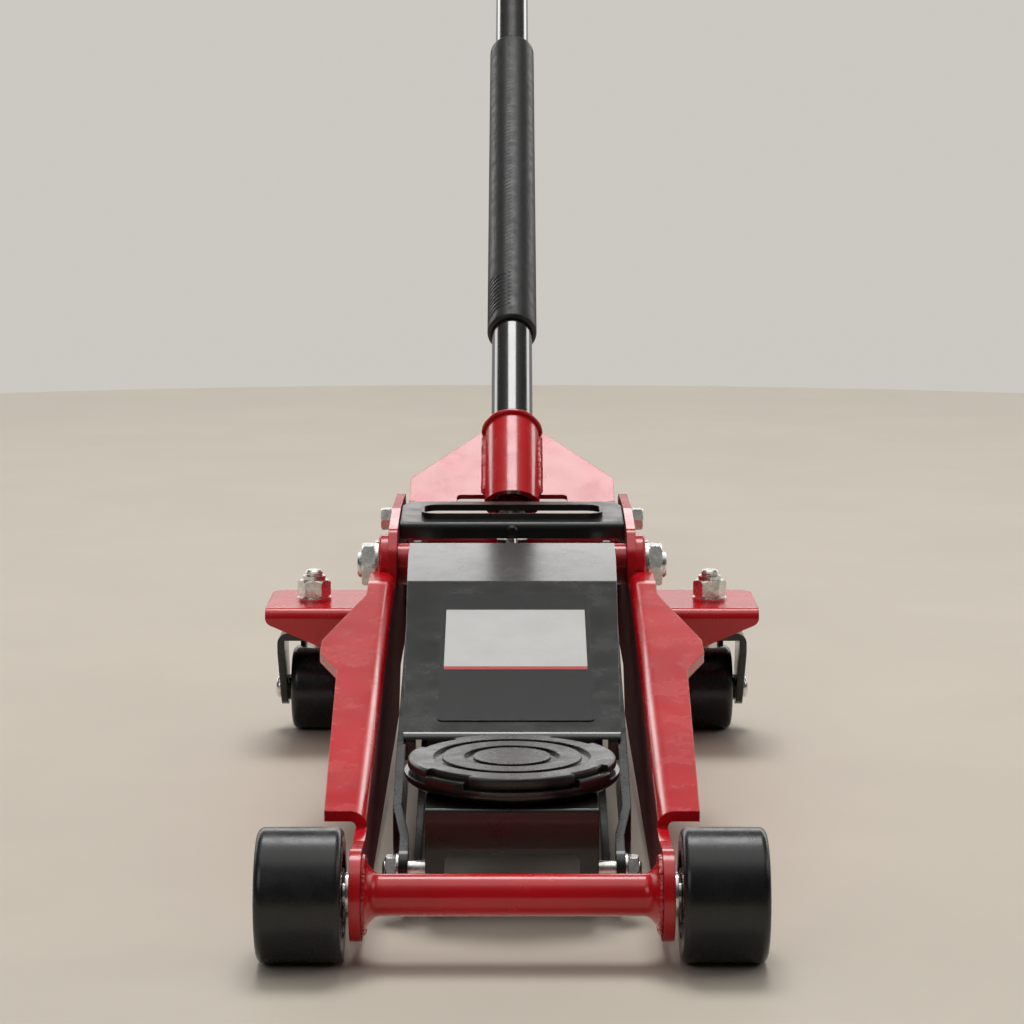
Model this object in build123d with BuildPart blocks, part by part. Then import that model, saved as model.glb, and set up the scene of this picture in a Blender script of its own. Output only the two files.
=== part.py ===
"""Low-profile hydraulic floor jack, lowered, with its handle leaning back.

Millimetres, +Z up. The saddle end points to -Y and the handle leans back to +Y. X = 0 is the middle
of the jack and Z = 0 is the floor. Lengths called reach are measured back from the front axle.
"""
import os
from math import cos, radians, sin, tan

from build123d import *

os.makedirs("parts", exist_ok=True)

# Fits and small gaps
running_fit = 0.05
seat_gap = 0.3
weld_gap = 0.1

# Front rollers and their axle
roller_radius = 35.0
roller_width = 44.5
roller_edge = 4.0
roller_recess_radius = 17.0
roller_recess_depth = 6.0
axle_radius = 7.0
axle_washer_radius = 12.0
axle_washer_thickness = 2.0

# Side plates
frame_inner = 77.5
plate_thickness = 6.0
lug_radius = 24.0
flange_front_reach = 55.0
flange_front_height = 66.0
flange_crease_reach = 438.0
flange_crease_height = 128.0
flange_rear_reach = 478.0
flange_front_width = 22.5
flange_flare_width = 40.5
flange_rear_width = 17.0
flange_bend_radius = 9.0
flange_inner_radius = 3.0
plate_floor_gap = 11.0
plate_rear_reach = 680.0
plate_rear_height = 160.0
wheel_arch_height = 52.0
wheel_arch_foot_height = 24.0
wheel_arch_front_reach = 512.0
wheel_arch_rise = 32.0
wheel_arch_rear_margin = 28.0
wheel_arch_radius = 12.0
flange_crease_radius = 60.0
flare_rear_end_reach = 412.0
flare_rear_reach = 324.0
flare_front_reach = 302.0
flare_front_end_reach = 272.0
flare_radius = 9.0
plate_toe_reach = 60.0
plate_toe_rise = 3.0
plate_toe_radius = 20.0
plate_tail_low_height = 80.0
plate_tail_high_height = 132.0
plate_tail_corner = 24.0
plate_tail_radius = 14.0
hump_middle_reach = 560.0
hump_front_reach = 496.0
hump_front_drop = 6.0
hump_step_reach = 481.0
hump_step_height = 141.0
hump_radius = 40.0
lug_neck_reach = 30.0
lug_neck_drop = 3.0
lug_neck_radius = 8.0

# Front crossbar
crossbar_radius = 11.0
crossbar_collar_radius = 19.0
crossbar_collar_width = 10.0
rear_bar_radius = 8.0
rear_bar_reach = 667.0
rear_bar_height = 119.0

# Main pivot of the lift arm
pivot_reach = 500.0
pivot_height = 130.0
pivot_bolt_radius = 9.0
pivot_boss_radius = 20.0
pivot_boss_height = 6.5
pivot_head_radius = 13.0
pivot_head_thickness = 4.0
pivot_spacer_radius = 14.0
main_nut_flats = 27.0
main_nut_height = 9.0
lift_angle = 50.0

# Lift arm
tip_reach = 82.0
tip_height = 27.0
tip_radius = 11.5
arm_inner = 61.5
arm_tip_inner = 56.5
arm_plate_thickness = 5.0
arm_lobe_radius = 16.0
joggle_front_reach = 95.0
joggle_rear_reach = 125.0
cover_lip_reach = 192.0
cover_lip_height = 78.0
cover_lip_drop = 15.0
cover_crease_reach = 396.0
cover_crease_height = 135.0
cover_rear_reach = 486.0
cover_rear_height = 146.5
cover_thickness = 4.0
cover_front_half = 63.0
cover_rear_half = 68.8
cover_lip_radius = 4.0

# Horn that the ram pushes
horn_radius = 70.0
horn_plate_inner = 16.0
horn_plate_thickness = 6.0
horn_eye_radius = 12.0
horn_pin_radius = 6.0
horn_roller_radius = 10.0

# Saddle pin, bracket and tie rods
saddle_pin_radius = 5.0
saddle_nut_flats = 15.0
saddle_nut_height = 6.0
bracket_half = 47.0
bracket_front_reach = 70.0
bracket_rear_reach = 152.0
bracket_top_height = 63.5
bracket_bottom_height = 17.0
bracket_wall = 6.0
bracket_recess_half = 37.0
bracket_recess_height = 38.5
bracket_boss_depth = 21.0
rod_offset_reach = 20.9
rod_offset_drop = 6.8
rod_inner = 50.2
rod_thickness = 4.0
rod_width = 11.0
rod_eye_radius = 7.5
rod_stud_radius = 4.0
rod_stud_head_radius = 6.0
anchor_bar_radius = 5.0

# Saddle
saddle_reach = 128.0
saddle_top_height = 80.0
saddle_radius = 60.0
saddle_rim_height = 76.8
saddle_rim_wall = 4.5
saddle_floor = 5.0
saddle_base_radius = 52.0
saddle_stem_radius = 15.0
saddle_stem_length = 26.0
saddle_clip_radius = 20.0
saddle_clip_thickness = 2.0
saddle_notch_depth = 4.2
saddle_set_angle = 6.0
notch_half_angle = 32.0
pad_lug_radius = 58.0
pad_lug_half_angle = 30.0
pad_lug_lift = 2.6
pad_edge_radius = 1.6
pad_groove_outer = 43.8
pad_groove_inner = 26.6
pad_groove_width = 5.0
pad_groove_depth = 1.8

# Rear casters
kingpin_half = 138.0
kingpin_reach = 555.0
kingpin_radius = 6.0
caster_arm_side_margin = 31.5
caster_arm_front_margin = 39.0
caster_arm_rear_margin = 43.0
caster_arm_height = 96.0
caster_sheet = 5.0
caster_fold_radius = 7.0
caster_gusset_bottom = 61.0
wheel_radius = 29.5
wheel_width = 34.0
wheel_edge = 5.0
wheel_trail = 24.0
wheel_axle_radius = 5.0
fork_inner = 20.0
fork_sheet = 5.0
fork_crown_height = 75.0
fork_eye_radius = 12.0
bearing_radius = 21.0
kingpin_nut_flats = 20.0
kingpin_nut_height = 12.0
kingpin_washer_radius = 12.0
kingpin_washer_thickness = 2.5
kingpin_nut_dome = 3.0
kingpin_head_height = 6.0
wheel_axle_head = 4.0
wheel_recess = 3.0
fork_crown_half = 17.0

# Power unit
unit_height = 63.3
ram_radius = 15.0
ram_stroke_gap = 0.7
reservoir_radius = 37.0
reservoir_wall = 4.0
cylinder_radius = 22.0
gland_front_reach = 549.0
gland_length = 9.0
base_front_reach = 636.0
base_rear_reach = 672.0
base_half = 36.0
base_bottom_height = 27.0
base_top_height = 104.0
base_ear_bottom_height = 27.0
base_ear_top_height = 106.0
base_flange_front = 8.0
base_flange_depth = 12.0
base_lug_height = 14.0
unit_bolt_setback = 21.0
unit_bolt_height = 74.0
unit_bolt_radius = 5.0
plunger_radius = 8.0
plunger_head_radius = 11.0
plunger_bore_floor = 84.0
pump_boss_radius = 13.0
pump_boss_height = 110.0
spring_wire = 1.8
spring_coils = 4

# Top cover over the power unit
lid_front_height = 154.0
lid_yoke_gap = 23.0
lid_depth = 72.0
lid_rear_height = 159.0
lid_front_half = 77.0
lid_rear_half = 72.3
lid_sheet = 2.5
lid_fold = 11.0
lid_slot_half = 61.0
lid_slot_front_margin = 13.0
lid_slot_rear_margin = 15.0
lid_slot_radius = 10.0
lid_slot_rim = 2.0

# Handle yoke
yoke_reach = 625.0
yoke_height = 143.5
handle_angle = 32.0
yoke_bolt_radius = 5.0
yoke_bolt_flats = 15.0
yoke_bolt_head = 8.0
yoke_half = 74.0
yoke_sheet = 4.0
yoke_eye_radius = 13.0
yoke_shoulder = 43.0
yoke_top = 96.5
yoke_web_bottom = 16.0
yoke_neck_half = 23.4
yoke_notch_half = 40.0
yoke_notch_top = 24.5
socket_radius = 20.3
socket_bottom = 23.0
socket_front_bottom = 7.5
socket_top = 100.5
collar_radius = 22.8
collar_width = 3.6
cam_radius = 22.0
cam_travel = 50.0
cam_roller_radius = 8.0
cam_pin_radius = 4.0
cam_lug_inner = 11.0
cam_lug_thickness = 5.0
cam_lug_radius = 8.5

# Handle
lower_tube_radius = 15.5
lower_tube_wall = 2.0
lower_tube_end = 600.0
upper_tube_radius = 14.25
upper_tube_lap = 60.0
foam_start = 222.0
foam_end = 641.0
foam_radius = 19.2
foam_edge = 3.0
grip_start = 960.0
grip_radius = 18.0
handle_end = 1080.0
grip_edge = 5.0
driver_radius = 9.5
ball_radius = 6.0
spindle_radius = 4.0
spindle_length = 50.0
valve_boss_radius = 11.0
valve_boss_start = 38.0

# Places along the jack, from the front axle, with Y = 0 at mid length
tilt = radians(handle_angle)
handle_reach = (handle_end - grip_edge) * cos(tilt) + (grip_radius - grip_edge) * sin(tilt) + grip_edge
axle_y = (roller_radius - yoke_reach - handle_reach) / 2
pivot_y = axle_y + pivot_reach
tip_y = axle_y + tip_reach
kingpin_y = axle_y + kingpin_reach
caster_arm_half = kingpin_half + caster_arm_side_margin
caster_arm_front_reach = kingpin_reach - caster_arm_front_margin
caster_arm_rear_reach = kingpin_reach + caster_arm_rear_margin
lid_rear_reach = yoke_reach - lid_yoke_gap
lid_front_reach = lid_rear_reach - lid_depth
lid_slot_front_reach = lid_front_reach + lid_slot_front_margin
lid_slot_rear_reach = lid_rear_reach - lid_slot_rear_margin
saddle_y = axle_y + saddle_reach
yoke_y = axle_y + yoke_reach
frame_outer = frame_inner + plate_thickness
rod_front = (tip_y + rod_offset_reach, tip_height - rod_offset_drop)
rod_rear = (pivot_y + rod_offset_reach, pivot_height - rod_offset_drop)
pivot = (pivot_y, pivot_height)
tip = (tip_y, tip_height)
yoke = (yoke_y, yoke_height)
axle = (axle_y, roller_radius)
unit_bolt = (axle_y + base_front_reach + unit_bolt_setback, unit_bolt_height)


def side(*points):
    """Turn (reach, height) pairs into points of a side view, (Y, Z)."""
    return [(axle_y + reach, height) for reach, height in points]


def across(half_width):
    """Plane of a side view at X = half_width: its x runs back and its y runs up."""
    return Plane.YZ.offset(half_width)


def hex_prism(plane, flats, height, bore, chamfer_size=1.0):
    """Hexagon nut or bolt head on a plane, both ends turned to a chamfer."""
    corner = flats / 2 / cos(radians(30))
    with BuildPart() as prism:
        with BuildSketch(plane):
            RegularPolygon(radius=flats / 2, side_count=6, major_radius=False)
        extrude(amount=height)
        with BuildSketch(plane):
            Circle(corner)
        turned = extrude(amount=height, mode=Mode.PRIVATE)
        rims = turned.edges().filter_by(GeomType.CIRCLE)
        add(turned.chamfer(chamfer_size, None, rims), mode=Mode.INTERSECT)
        if bore > 0:
            with BuildSketch(plane):
                Circle(bore)
            extrude(amount=height, mode=Mode.SUBTRACT)
    return prism.part


def save(builder, name):
    """Label a finished piece and write it."""
    builder.part.label = name
    export_step(builder.part, f"parts/{name}.step")


# Side plates, each one plate with an outward flange rolled along its top
flange_path_points = [
    (frame_inner, axle_y + flange_front_reach, flange_front_height),
    (frame_inner, axle_y + flange_crease_reach, flange_crease_height),
    (frame_inner, axle_y + flange_rear_reach, flange_crease_height),
]
flange_rise = Vector(*flange_path_points[1]) - Vector(*flange_path_points[0])
flange_slope = flange_rise.Z / flange_rise.Y
flange_leg = flange_bend_radius + 4.0

with BuildPart() as right_side_plate:
    with BuildLine() as flange_path:
        FilletPolyline(*flange_path_points, radius=flange_crease_radius)
    flange_start = Plane(origin=flange_path_points[0], x_dir=(1, 0, 0), z_dir=flange_rise)
    with BuildSketch(flange_start) as flange_section:
        with BuildLine():
            Polyline(
                (0, 0),
                (flange_flare_width + plate_thickness, 0),
                (flange_flare_width + plate_thickness, plate_thickness),
                (plate_thickness, plate_thickness),
                (plate_thickness, flange_leg),
                (0, flange_leg),
                close=True,
            )
        make_face()
        corners = flange_section.vertices()
        fillet(corners.sort_by_distance((0, 0))[0], flange_bend_radius)
        corners = flange_section.vertices()
        fillet(corners.sort_by_distance((plate_thickness, plate_thickness))[0], flange_inner_radius)
    sweep(path=flange_path.wire())
    with BuildSketch(Plane.XY) as flange_plan:
        with BuildLine():
            FilletPolyline(
                (frame_inner, axle_y + flange_front_reach - 10),
                (frame_inner, axle_y + flange_rear_reach + 10),
                (frame_inner + flange_rear_width, axle_y + flange_rear_reach + 10),
                (frame_inner + flange_rear_width, axle_y + flare_rear_end_reach),
                (frame_inner + flange_flare_width, axle_y + flare_rear_reach),
                (frame_inner + flange_flare_width, axle_y + flare_front_reach),
                (frame_inner + flange_front_width + 6, axle_y + flare_front_end_reach),
                (frame_inner + flange_front_width, axle_y + flange_front_reach - 10),
                radius=[0, 0, 0, 8, flare_radius, flare_radius, 6, 0],
                close=True,
            )
        make_face()
    extrude(amount=2 * flange_crease_height, mode=Mode.INTERSECT)
    with BuildSketch(across(frame_inner)) as plate_web:
        with BuildLine():
            FilletPolyline(
                *side(
                    (0, plate_floor_gap),
                    (plate_toe_reach, plate_floor_gap + plate_toe_rise),
                    (wheel_arch_front_reach, wheel_arch_foot_height),
                    (wheel_arch_front_reach + wheel_arch_rise, wheel_arch_height),
                    (plate_rear_reach - wheel_arch_rear_margin, wheel_arch_height + 2),
                    (plate_rear_reach, plate_tail_low_height),
                    (plate_rear_reach, plate_tail_high_height),
                    (plate_rear_reach - plate_tail_corner, plate_rear_height - 2),
                    (hump_middle_reach, plate_rear_height),
                    (hump_front_reach, plate_rear_height - hump_front_drop),
                    (hump_step_reach, hump_step_height),
                    (flange_rear_reach, flange_crease_height - flange_bend_radius),
                    (flange_crease_reach, flange_crease_height - flange_bend_radius),
                    (flange_front_reach, flange_front_height - flange_bend_radius),
                    (lug_neck_reach, roller_radius + lug_radius - lug_neck_drop),
                    (0, roller_radius + lug_radius),
                ),
                radius=[
                    0,
                    plate_toe_radius,
                    wheel_arch_radius,
                    wheel_arch_radius,
                    plate_tail_radius,
                    plate_tail_radius,
                    plate_tail_radius,
                    plate_tail_radius,
                    hump_radius,
                    10,
                    10,
                    1,
                    hump_radius,
                    lug_neck_radius,
                    lug_neck_radius,
                    0,
                ],
                close=True,
            )
        make_face()
        with Locations(axle):
            Circle(lug_radius)
    extrude(amount=plate_thickness)
    with BuildSketch(across(frame_outer)):
        with Locations(pivot):
            Circle(pivot_boss_radius)
    extrude(amount=pivot_boss_height)
    boss_rim = right_side_plate.faces().sort_by_distance((frame_outer + pivot_boss_height, *pivot))[0]
    fillet(boss_rim.edges().filter_by(GeomType.CIRCLE), 2.0)
    with BuildSketch(across(frame_inner)):
        with Locations(pivot):
            Circle(pivot_bolt_radius + running_fit)
        with Locations(axle):
            Circle(axle_radius + running_fit)
        with Locations(yoke):
            Circle(yoke_bolt_radius + running_fit)
        with Locations(unit_bolt):
            Circle(unit_bolt_radius + running_fit)
    extrude(amount=plate_thickness + pivot_boss_height, mode=Mode.SUBTRACT)

with BuildPart() as left_side_plate:
    add(right_side_plate.part)
    mirror(about=Plane.YZ, mode=Mode.REPLACE)

# Front crossbar, a tube round the axle that flares into a weld collar at each plate
with BuildPart() as front_crossbar:
    with BuildSketch(Plane.XY.offset(roller_radius)):
        with BuildLine():
            Line((0, axle_y), (frame_inner, axle_y))
            Line((frame_inner, axle_y), (frame_inner, axle_y - crossbar_collar_radius))
            Line((frame_inner, axle_y - crossbar_collar_radius), (frame_inner - 1.5, axle_y - crossbar_collar_radius))
            Spline(
                (frame_inner - 1.5, axle_y - crossbar_collar_radius),
                (frame_inner - 4.5, axle_y - crossbar_radius - 3.0),
                (frame_inner - crossbar_collar_width, axle_y - crossbar_radius),
                tangents=[(-0.3, 1), (-1, 0)],
            )
            Line((frame_inner - crossbar_collar_width, axle_y - crossbar_radius), (0, axle_y - crossbar_radius))
            Line((0, axle_y - crossbar_radius), (0, axle_y))
        make_face()
    revolve(axis=Axis((0, axle_y, roller_radius), (1, 0, 0)))
    mirror(about=Plane.YZ)
    with BuildSketch(across(-frame_inner)):
        with Locations(axle):
            Circle(axle_radius + running_fit)
    extrude(amount=2 * frame_inner, mode=Mode.SUBTRACT)

# Rear crossbar between the side plates
with BuildPart() as rear_crossbar:
    with BuildSketch(across(-frame_inner)):
        with Locations(*side((rear_bar_reach, rear_bar_height))):
            Circle(rear_bar_radius)
            Circle(rear_bar_radius - 2.5, mode=Mode.SUBTRACT)
    extrude(amount=2 * frame_inner)

# Front axle with a washer each side of each roller
roller_inner = frame_outer + axle_washer_thickness + 2 * seat_gap + 0.9
roller_outer = roller_inner + roller_width
axle_half = roller_outer - 1.0

with BuildPart() as front_axle:
    with BuildSketch(across(-axle_half)):
        with Locations(axle):
            Circle(axle_radius)
    extrude(amount=2 * axle_half)
    chamfer(front_axle.edges().filter_by(GeomType.CIRCLE), 1.0)

outer_washer_x = roller_outer - roller_recess_depth + seat_gap
with BuildPart() as axle_washers:
    for washer_x in (frame_outer + seat_gap, outer_washer_x):
        with BuildSketch(across(washer_x)):
            with Locations(axle):
                Circle(axle_washer_radius)
                Circle(axle_radius + running_fit, mode=Mode.SUBTRACT)
        extrude(amount=axle_washer_thickness)
    mirror(about=Plane.YZ)

# Front rollers, solid with rounded edges, recessed round the axle
with BuildPart() as right_front_roller:
    with BuildSketch(across(roller_inner)):
        with Locations(axle):
            Circle(roller_radius)
    extrude(amount=roller_width)
    rims = right_front_roller.edges().filter_by(GeomType.CIRCLE)
    fillet(rims, roller_edge)
    recess_x = roller_outer - roller_recess_depth
    with BuildSketch(across(recess_x)):
        with Locations(axle):
            Circle(roller_recess_radius)
    extrude(amount=roller_recess_depth, mode=Mode.SUBTRACT)
    with BuildSketch(across(roller_inner)):
        with Locations(axle):
            Circle(roller_recess_radius + 6)
            Circle(axle_washer_radius + 2, mode=Mode.SUBTRACT)
    extrude(amount=2.0, mode=Mode.SUBTRACT)
    with BuildSketch(across(roller_inner)):
        with Locations(axle):
            Circle(axle_radius + running_fit)
    extrude(amount=roller_width, mode=Mode.SUBTRACT)

with BuildPart() as left_front_roller:
    add(right_front_roller.part)
    mirror(about=Plane.YZ, mode=Mode.REPLACE)

# Main pivot: shoulder bolts, spacers, washers and nuts
rod_outer = rod_inner + rod_thickness
pivot_head_x = arm_inner - pivot_head_thickness - seat_gap
arm_outer = arm_inner + arm_plate_thickness
boss_face_x = frame_outer + pivot_boss_height
pivot_thread_end = boss_face_x + 2.5 + main_nut_height + 3.0

with BuildPart() as main_pivot_bolts:
    with BuildSketch(across(pivot_head_x)):
        with Locations(pivot):
            Circle(pivot_head_radius)
    extrude(amount=pivot_head_thickness)
    with BuildSketch(across(pivot_head_x)):
        with Locations(pivot):
            Circle(pivot_bolt_radius)
    extrude(amount=pivot_thread_end - pivot_head_x)
    chamfer(main_pivot_bolts.faces().sort_by(Axis.X)[-1].edges(), 1.2)
    mirror(about=Plane.YZ)

with BuildPart() as pivot_spacers:
    with BuildSketch(across(arm_outer + seat_gap)):
        with Locations(pivot):
            Circle(pivot_spacer_radius)
            Circle(pivot_bolt_radius + running_fit, mode=Mode.SUBTRACT)
    extrude(amount=frame_inner - arm_outer - seat_gap)
    mirror(about=Plane.YZ)

nut_plane = Plane(origin=(boss_face_x + 2.5, *pivot), x_dir=(0, 1, 0), z_dir=(1, 0, 0))
with BuildPart() as main_pivot_nuts:
    with BuildSketch(across(boss_face_x)):
        with Locations(pivot):
            Circle(main_nut_flats / 2 + 2.5)
            Circle(pivot_bolt_radius + running_fit, mode=Mode.SUBTRACT)
    extrude(amount=2.5)
    add(hex_prism(nut_plane, main_nut_flats, main_nut_height, pivot_bolt_radius + running_fit, 1.6))
    mirror(about=Plane.YZ)

# Anchor bar that carries the rear eyes of the tie rods
with BuildPart() as tie_rod_anchor:
    with BuildSketch(across(-frame_inner)):
        with Locations(rod_rear):
            Circle(anchor_bar_radius)
    extrude(amount=2 * frame_inner)
    for collar_x in (rod_outer + seat_gap, -rod_outer - seat_gap - 3.0):
        with BuildSketch(across(collar_x)):
            with Locations(rod_rear):
                Circle(anchor_bar_radius + 2.5)
        extrude(amount=3.0)

# Lift arm side plates, joggled in behind the saddle pin
underside_front = cover_thickness / cos(0.27) + weld_gap
arm_top_front = cover_lip_height - underside_front
arm_top_crease = cover_crease_height - underside_front
arm_top_rear = cover_rear_height - cover_thickness - 2 * weld_gap
tip_centre = arm_tip_inner + arm_plate_thickness / 2
arm_centre = arm_inner + arm_plate_thickness / 2

with BuildPart() as right_arm_plate:
    with BuildSketch(Plane.XY):
        with BuildLine() as joggle:
            FilletPolyline(
                (tip_centre, tip_y - 2 * tip_radius),
                (tip_centre, axle_y + joggle_front_reach),
                (arm_centre, axle_y + joggle_rear_reach),
                (arm_centre, pivot_y + 2 * arm_lobe_radius),
                radius=18,
            )
        trace(line_width=arm_plate_thickness)
    extrude(amount=2 * pivot_height)
    with BuildSketch(across(arm_tip_inner - 10)):
        with BuildLine():
            FilletPolyline(
                *side(
                    (tip_reach + 2, tip_height - tip_radius),
                    (150, 22),
                    (300, 54),
                    (458, 96),
                    (pivot_reach - 4, pivot_height - arm_lobe_radius),
                    (pivot_reach + 6, pivot_height + 6),
                    (cover_rear_reach, arm_top_rear),
                    (cover_crease_reach, arm_top_crease),
                    (cover_lip_reach + 2, arm_top_front),
                    (tip_reach - 3, tip_height + tip_radius - 0.4),
                ),
                radius=[0, 60, 60, 30, 0, 0, 0, 30, 20, 0],
                close=True,
            )
        make_face()
        with Locations(pivot):
            Circle(arm_lobe_radius)
        with Locations(tip):
            Circle(tip_radius)
    extrude(amount=30, mode=Mode.INTERSECT)
    with BuildSketch(across(arm_tip_inner - 10)):
        with Locations(pivot):
            Circle(pivot_bolt_radius + running_fit)
        with Locations(tip):
            Circle(saddle_pin_radius + running_fit)
    extrude(amount=30, mode=Mode.SUBTRACT)

with BuildPart() as left_arm_plate:
    add(right_arm_plate.part)
    mirror(about=Plane.YZ, mode=Mode.REPLACE)

# Bent top plate of the lift arm, folded down at its front
half_sheet = cover_thickness / 2
with BuildPart() as arm_top_plate:
    with BuildSketch(across(-cover_rear_half)):
        with BuildLine():
            FilletPolyline(
                *side(
                    (cover_lip_reach + half_sheet, cover_lip_height - cover_lip_drop),
                    (cover_lip_reach + half_sheet, cover_lip_height - half_sheet),
                    (cover_crease_reach, cover_crease_height - half_sheet),
                    (cover_rear_reach, cover_rear_height - half_sheet),
                ),
                radius=[cover_lip_radius, 14],
            )
        trace(line_width=cover_thickness)
    extrude(amount=2 * cover_rear_half)
    with BuildSketch(Plane.XY):
        with BuildLine():
            Polyline(
                (cover_front_half, axle_y + cover_lip_reach - 5),
                (cover_front_half, axle_y + cover_lip_reach),
                (cover_rear_half, axle_y + cover_rear_reach - 30),
                (cover_rear_half, axle_y + cover_rear_reach + 5),
                (-cover_rear_half, axle_y + cover_rear_reach + 5),
                (-cover_rear_half, axle_y + cover_rear_reach - 30),
                (-cover_front_half, axle_y + cover_lip_reach),
                (-cover_front_half, axle_y + cover_lip_reach - 5),
                close=True,
            )
        make_face()
    extrude(amount=2 * cover_rear_height, mode=Mode.INTERSECT)
    with BuildSketch(Plane.XY):
        with Locations((0, axle_y + cover_lip_reach)):
            Rectangle(2 * cover_rear_half, 2 * (cover_lip_radius + 2))
            Rectangle(2 * (arm_inner - weld_gap), 2 * (cover_lip_radius + 3), mode=Mode.SUBTRACT)
        with Locations(
            (rod_inner + rod_thickness / 2, axle_y + cover_lip_reach),
            (-rod_inner - rod_thickness / 2, axle_y + cover_lip_reach),
        ):
            Rectangle(rod_thickness + 3, 2 * (cover_lip_radius + 2))
    extrude(amount=arm_top_front + 1.2 + weld_gap, mode=Mode.SUBTRACT)

# Horn plates under the top plate, with the pin and roller that the ram pushes
half_lift = radians(lift_angle / 2)
horn = (pivot_y + horn_radius * sin(half_lift), pivot_height - horn_radius * cos(half_lift))
horn_reach = horn[0] - axle_y
rear_fall = (cover_rear_height - cover_crease_height) / (cover_rear_reach - cover_crease_reach)
horn_top_reach = cover_crease_reach + 20
horn_top_front = cover_crease_height + 20 * rear_fall - cover_thickness - 2 * weld_gap

with BuildPart() as horn_plates:
    with BuildSketch(across(horn_plate_inner)):
        with BuildLine():
            FilletPolyline(
                *side(
                    (horn_top_reach, horn_top_front),
                    (cover_rear_reach - 2, arm_top_rear - 0.3),
                    (pivot_reach + 8, pivot_height + 10),
                    (pivot_reach + 14.5, pivot_height - 3),
                    (pivot_reach + 13, pivot_height - 9.5),
                    (horn_reach + horn_eye_radius - 0.6, horn[1] + 4),
                    (horn_reach - 10, horn[1] - 7),
                    (cover_crease_reach + 70, pivot_height - 36),
                    (horn_top_reach, horn_top_front - 18),
                ),
                radius=[0, 0, 6, 4, 4, 0, 0, 20, 8],
                close=True,
            )
        make_face()
        with Locations(horn):
            Circle(horn_eye_radius)
        with Locations(horn):
            Circle(horn_pin_radius + running_fit, mode=Mode.SUBTRACT)
    extrude(amount=horn_plate_thickness)
    mirror(about=Plane.YZ)

horn_plate_outer = horn_plate_inner + horn_plate_thickness
with BuildPart() as horn_pin:
    with BuildSketch(across(-horn_plate_outer - 3)):
        with Locations(horn):
            Circle(horn_pin_radius)
    extrude(amount=2 * horn_plate_outer + 6)
    for head_x in (-horn_plate_outer - 3, horn_plate_outer + weld_gap):
        with BuildSketch(across(head_x)):
            with Locations(horn):
                Circle(horn_pin_radius + 2)
        extrude(amount=3 - weld_gap)

with BuildPart() as horn_roller:
    with BuildSketch(across(-horn_plate_inner + seat_gap)):
        with Locations(horn):
            Circle(horn_roller_radius)
            Circle(horn_pin_radius + running_fit, mode=Mode.SUBTRACT)
    extrude(amount=2 * (horn_plate_inner - seat_gap))

# Saddle pivot bolts, from inside each wall of the bracket out through the arm tips, with their nuts
tip_outer = arm_tip_inner + arm_plate_thickness
saddle_bolt_start = bracket_half - bracket_wall
with BuildPart() as saddle_pin:
    with BuildSketch(across(saddle_bolt_start)):
        with Locations(tip):
            Circle(saddle_pin_radius)
    extrude(amount=tip_outer + saddle_nut_height + 3 - saddle_bolt_start)
    chamfer(saddle_pin.faces().sort_by(Axis.X)[-1].edges(), 1.0)
    mirror(about=Plane.YZ)

tip_nut_plane = Plane(origin=(tip_outer + 1.5, *tip), x_dir=(0, 1, 0), z_dir=(1, 0, 0))
with BuildPart() as saddle_pin_nuts:
    with BuildSketch(across(tip_outer + weld_gap)):
        with Locations(tip):
            Circle(saddle_nut_flats / 2 + 1.5)
            Circle(saddle_pin_radius + running_fit, mode=Mode.SUBTRACT)
    extrude(amount=1.5 - weld_gap)
    add(hex_prism(tip_nut_plane, saddle_nut_flats, saddle_nut_height, saddle_pin_radius + running_fit))
    mirror(about=Plane.YZ)

# Saddle bracket, a cast channel open below, with a recess under its front face
bracket_depth = bracket_rear_reach - bracket_front_reach
bracket_height = bracket_top_height - bracket_bottom_height
bracket_boss_bottom = bracket_top_height - bracket_boss_depth
with BuildPart() as saddle_bracket:
    with BuildSketch(across(-bracket_half)):
        with BuildLine():
            FilletPolyline(
                *side(
                    (bracket_front_reach, bracket_bottom_height),
                    (bracket_front_reach + 26, bracket_bottom_height - 1),
                    (bracket_rear_reach, 38),
                    (bracket_rear_reach, bracket_top_height),
                    (bracket_front_reach, bracket_top_height),
                ),
                radius=[6, 10, 10, 4, 2],
                close=True,
            )
        make_face()
        with Locations(rod_front):
            Circle(rod_stud_radius + 4)
    extrude(amount=2 * bracket_half)
    with BuildSketch(Plane.XY) as bracket_hollow:
        with Locations((0, axle_y + (bracket_front_reach + bracket_rear_reach) / 2)):
            RectangleRounded(
                2 * (bracket_half - bracket_wall), bracket_depth - 2 * bracket_wall, 5
            )
        with Locations((0, saddle_y)):
            Circle(saddle_stem_radius + 7, mode=Mode.SUBTRACT)
    extrude(amount=bracket_top_height - bracket_wall, mode=Mode.SUBTRACT)
    with BuildSketch(Plane.XZ.offset(-axle_y - bracket_front_reach)) as bracket_recess:
        with Locations((0, bracket_recess_height / 2)):
            Rectangle(2 * bracket_recess_half, bracket_recess_height)
        fillet(bracket_recess.vertices().group_by(Axis.Y)[-1], 4)
    extrude(amount=-bracket_wall - 1, mode=Mode.SUBTRACT)
    with BuildSketch(Plane.XY):
        with Locations((0, saddle_y)):
            Circle(saddle_clip_radius + 4)
    extrude(amount=bracket_boss_bottom, mode=Mode.SUBTRACT)
    with BuildSketch(Plane.XY.offset(bracket_bottom_height)):
        with Locations((0, saddle_y)):
            Circle(saddle_stem_radius + running_fit)
    extrude(amount=bracket_height, mode=Mode.SUBTRACT)
    with BuildSketch(across(-bracket_half)):
        with Locations(tip):
            Circle(saddle_pin_radius + running_fit)
        with Locations(rod_front):
            Circle(rod_stud_radius + running_fit)
    extrude(amount=2 * bracket_half, mode=Mode.SUBTRACT)

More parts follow.
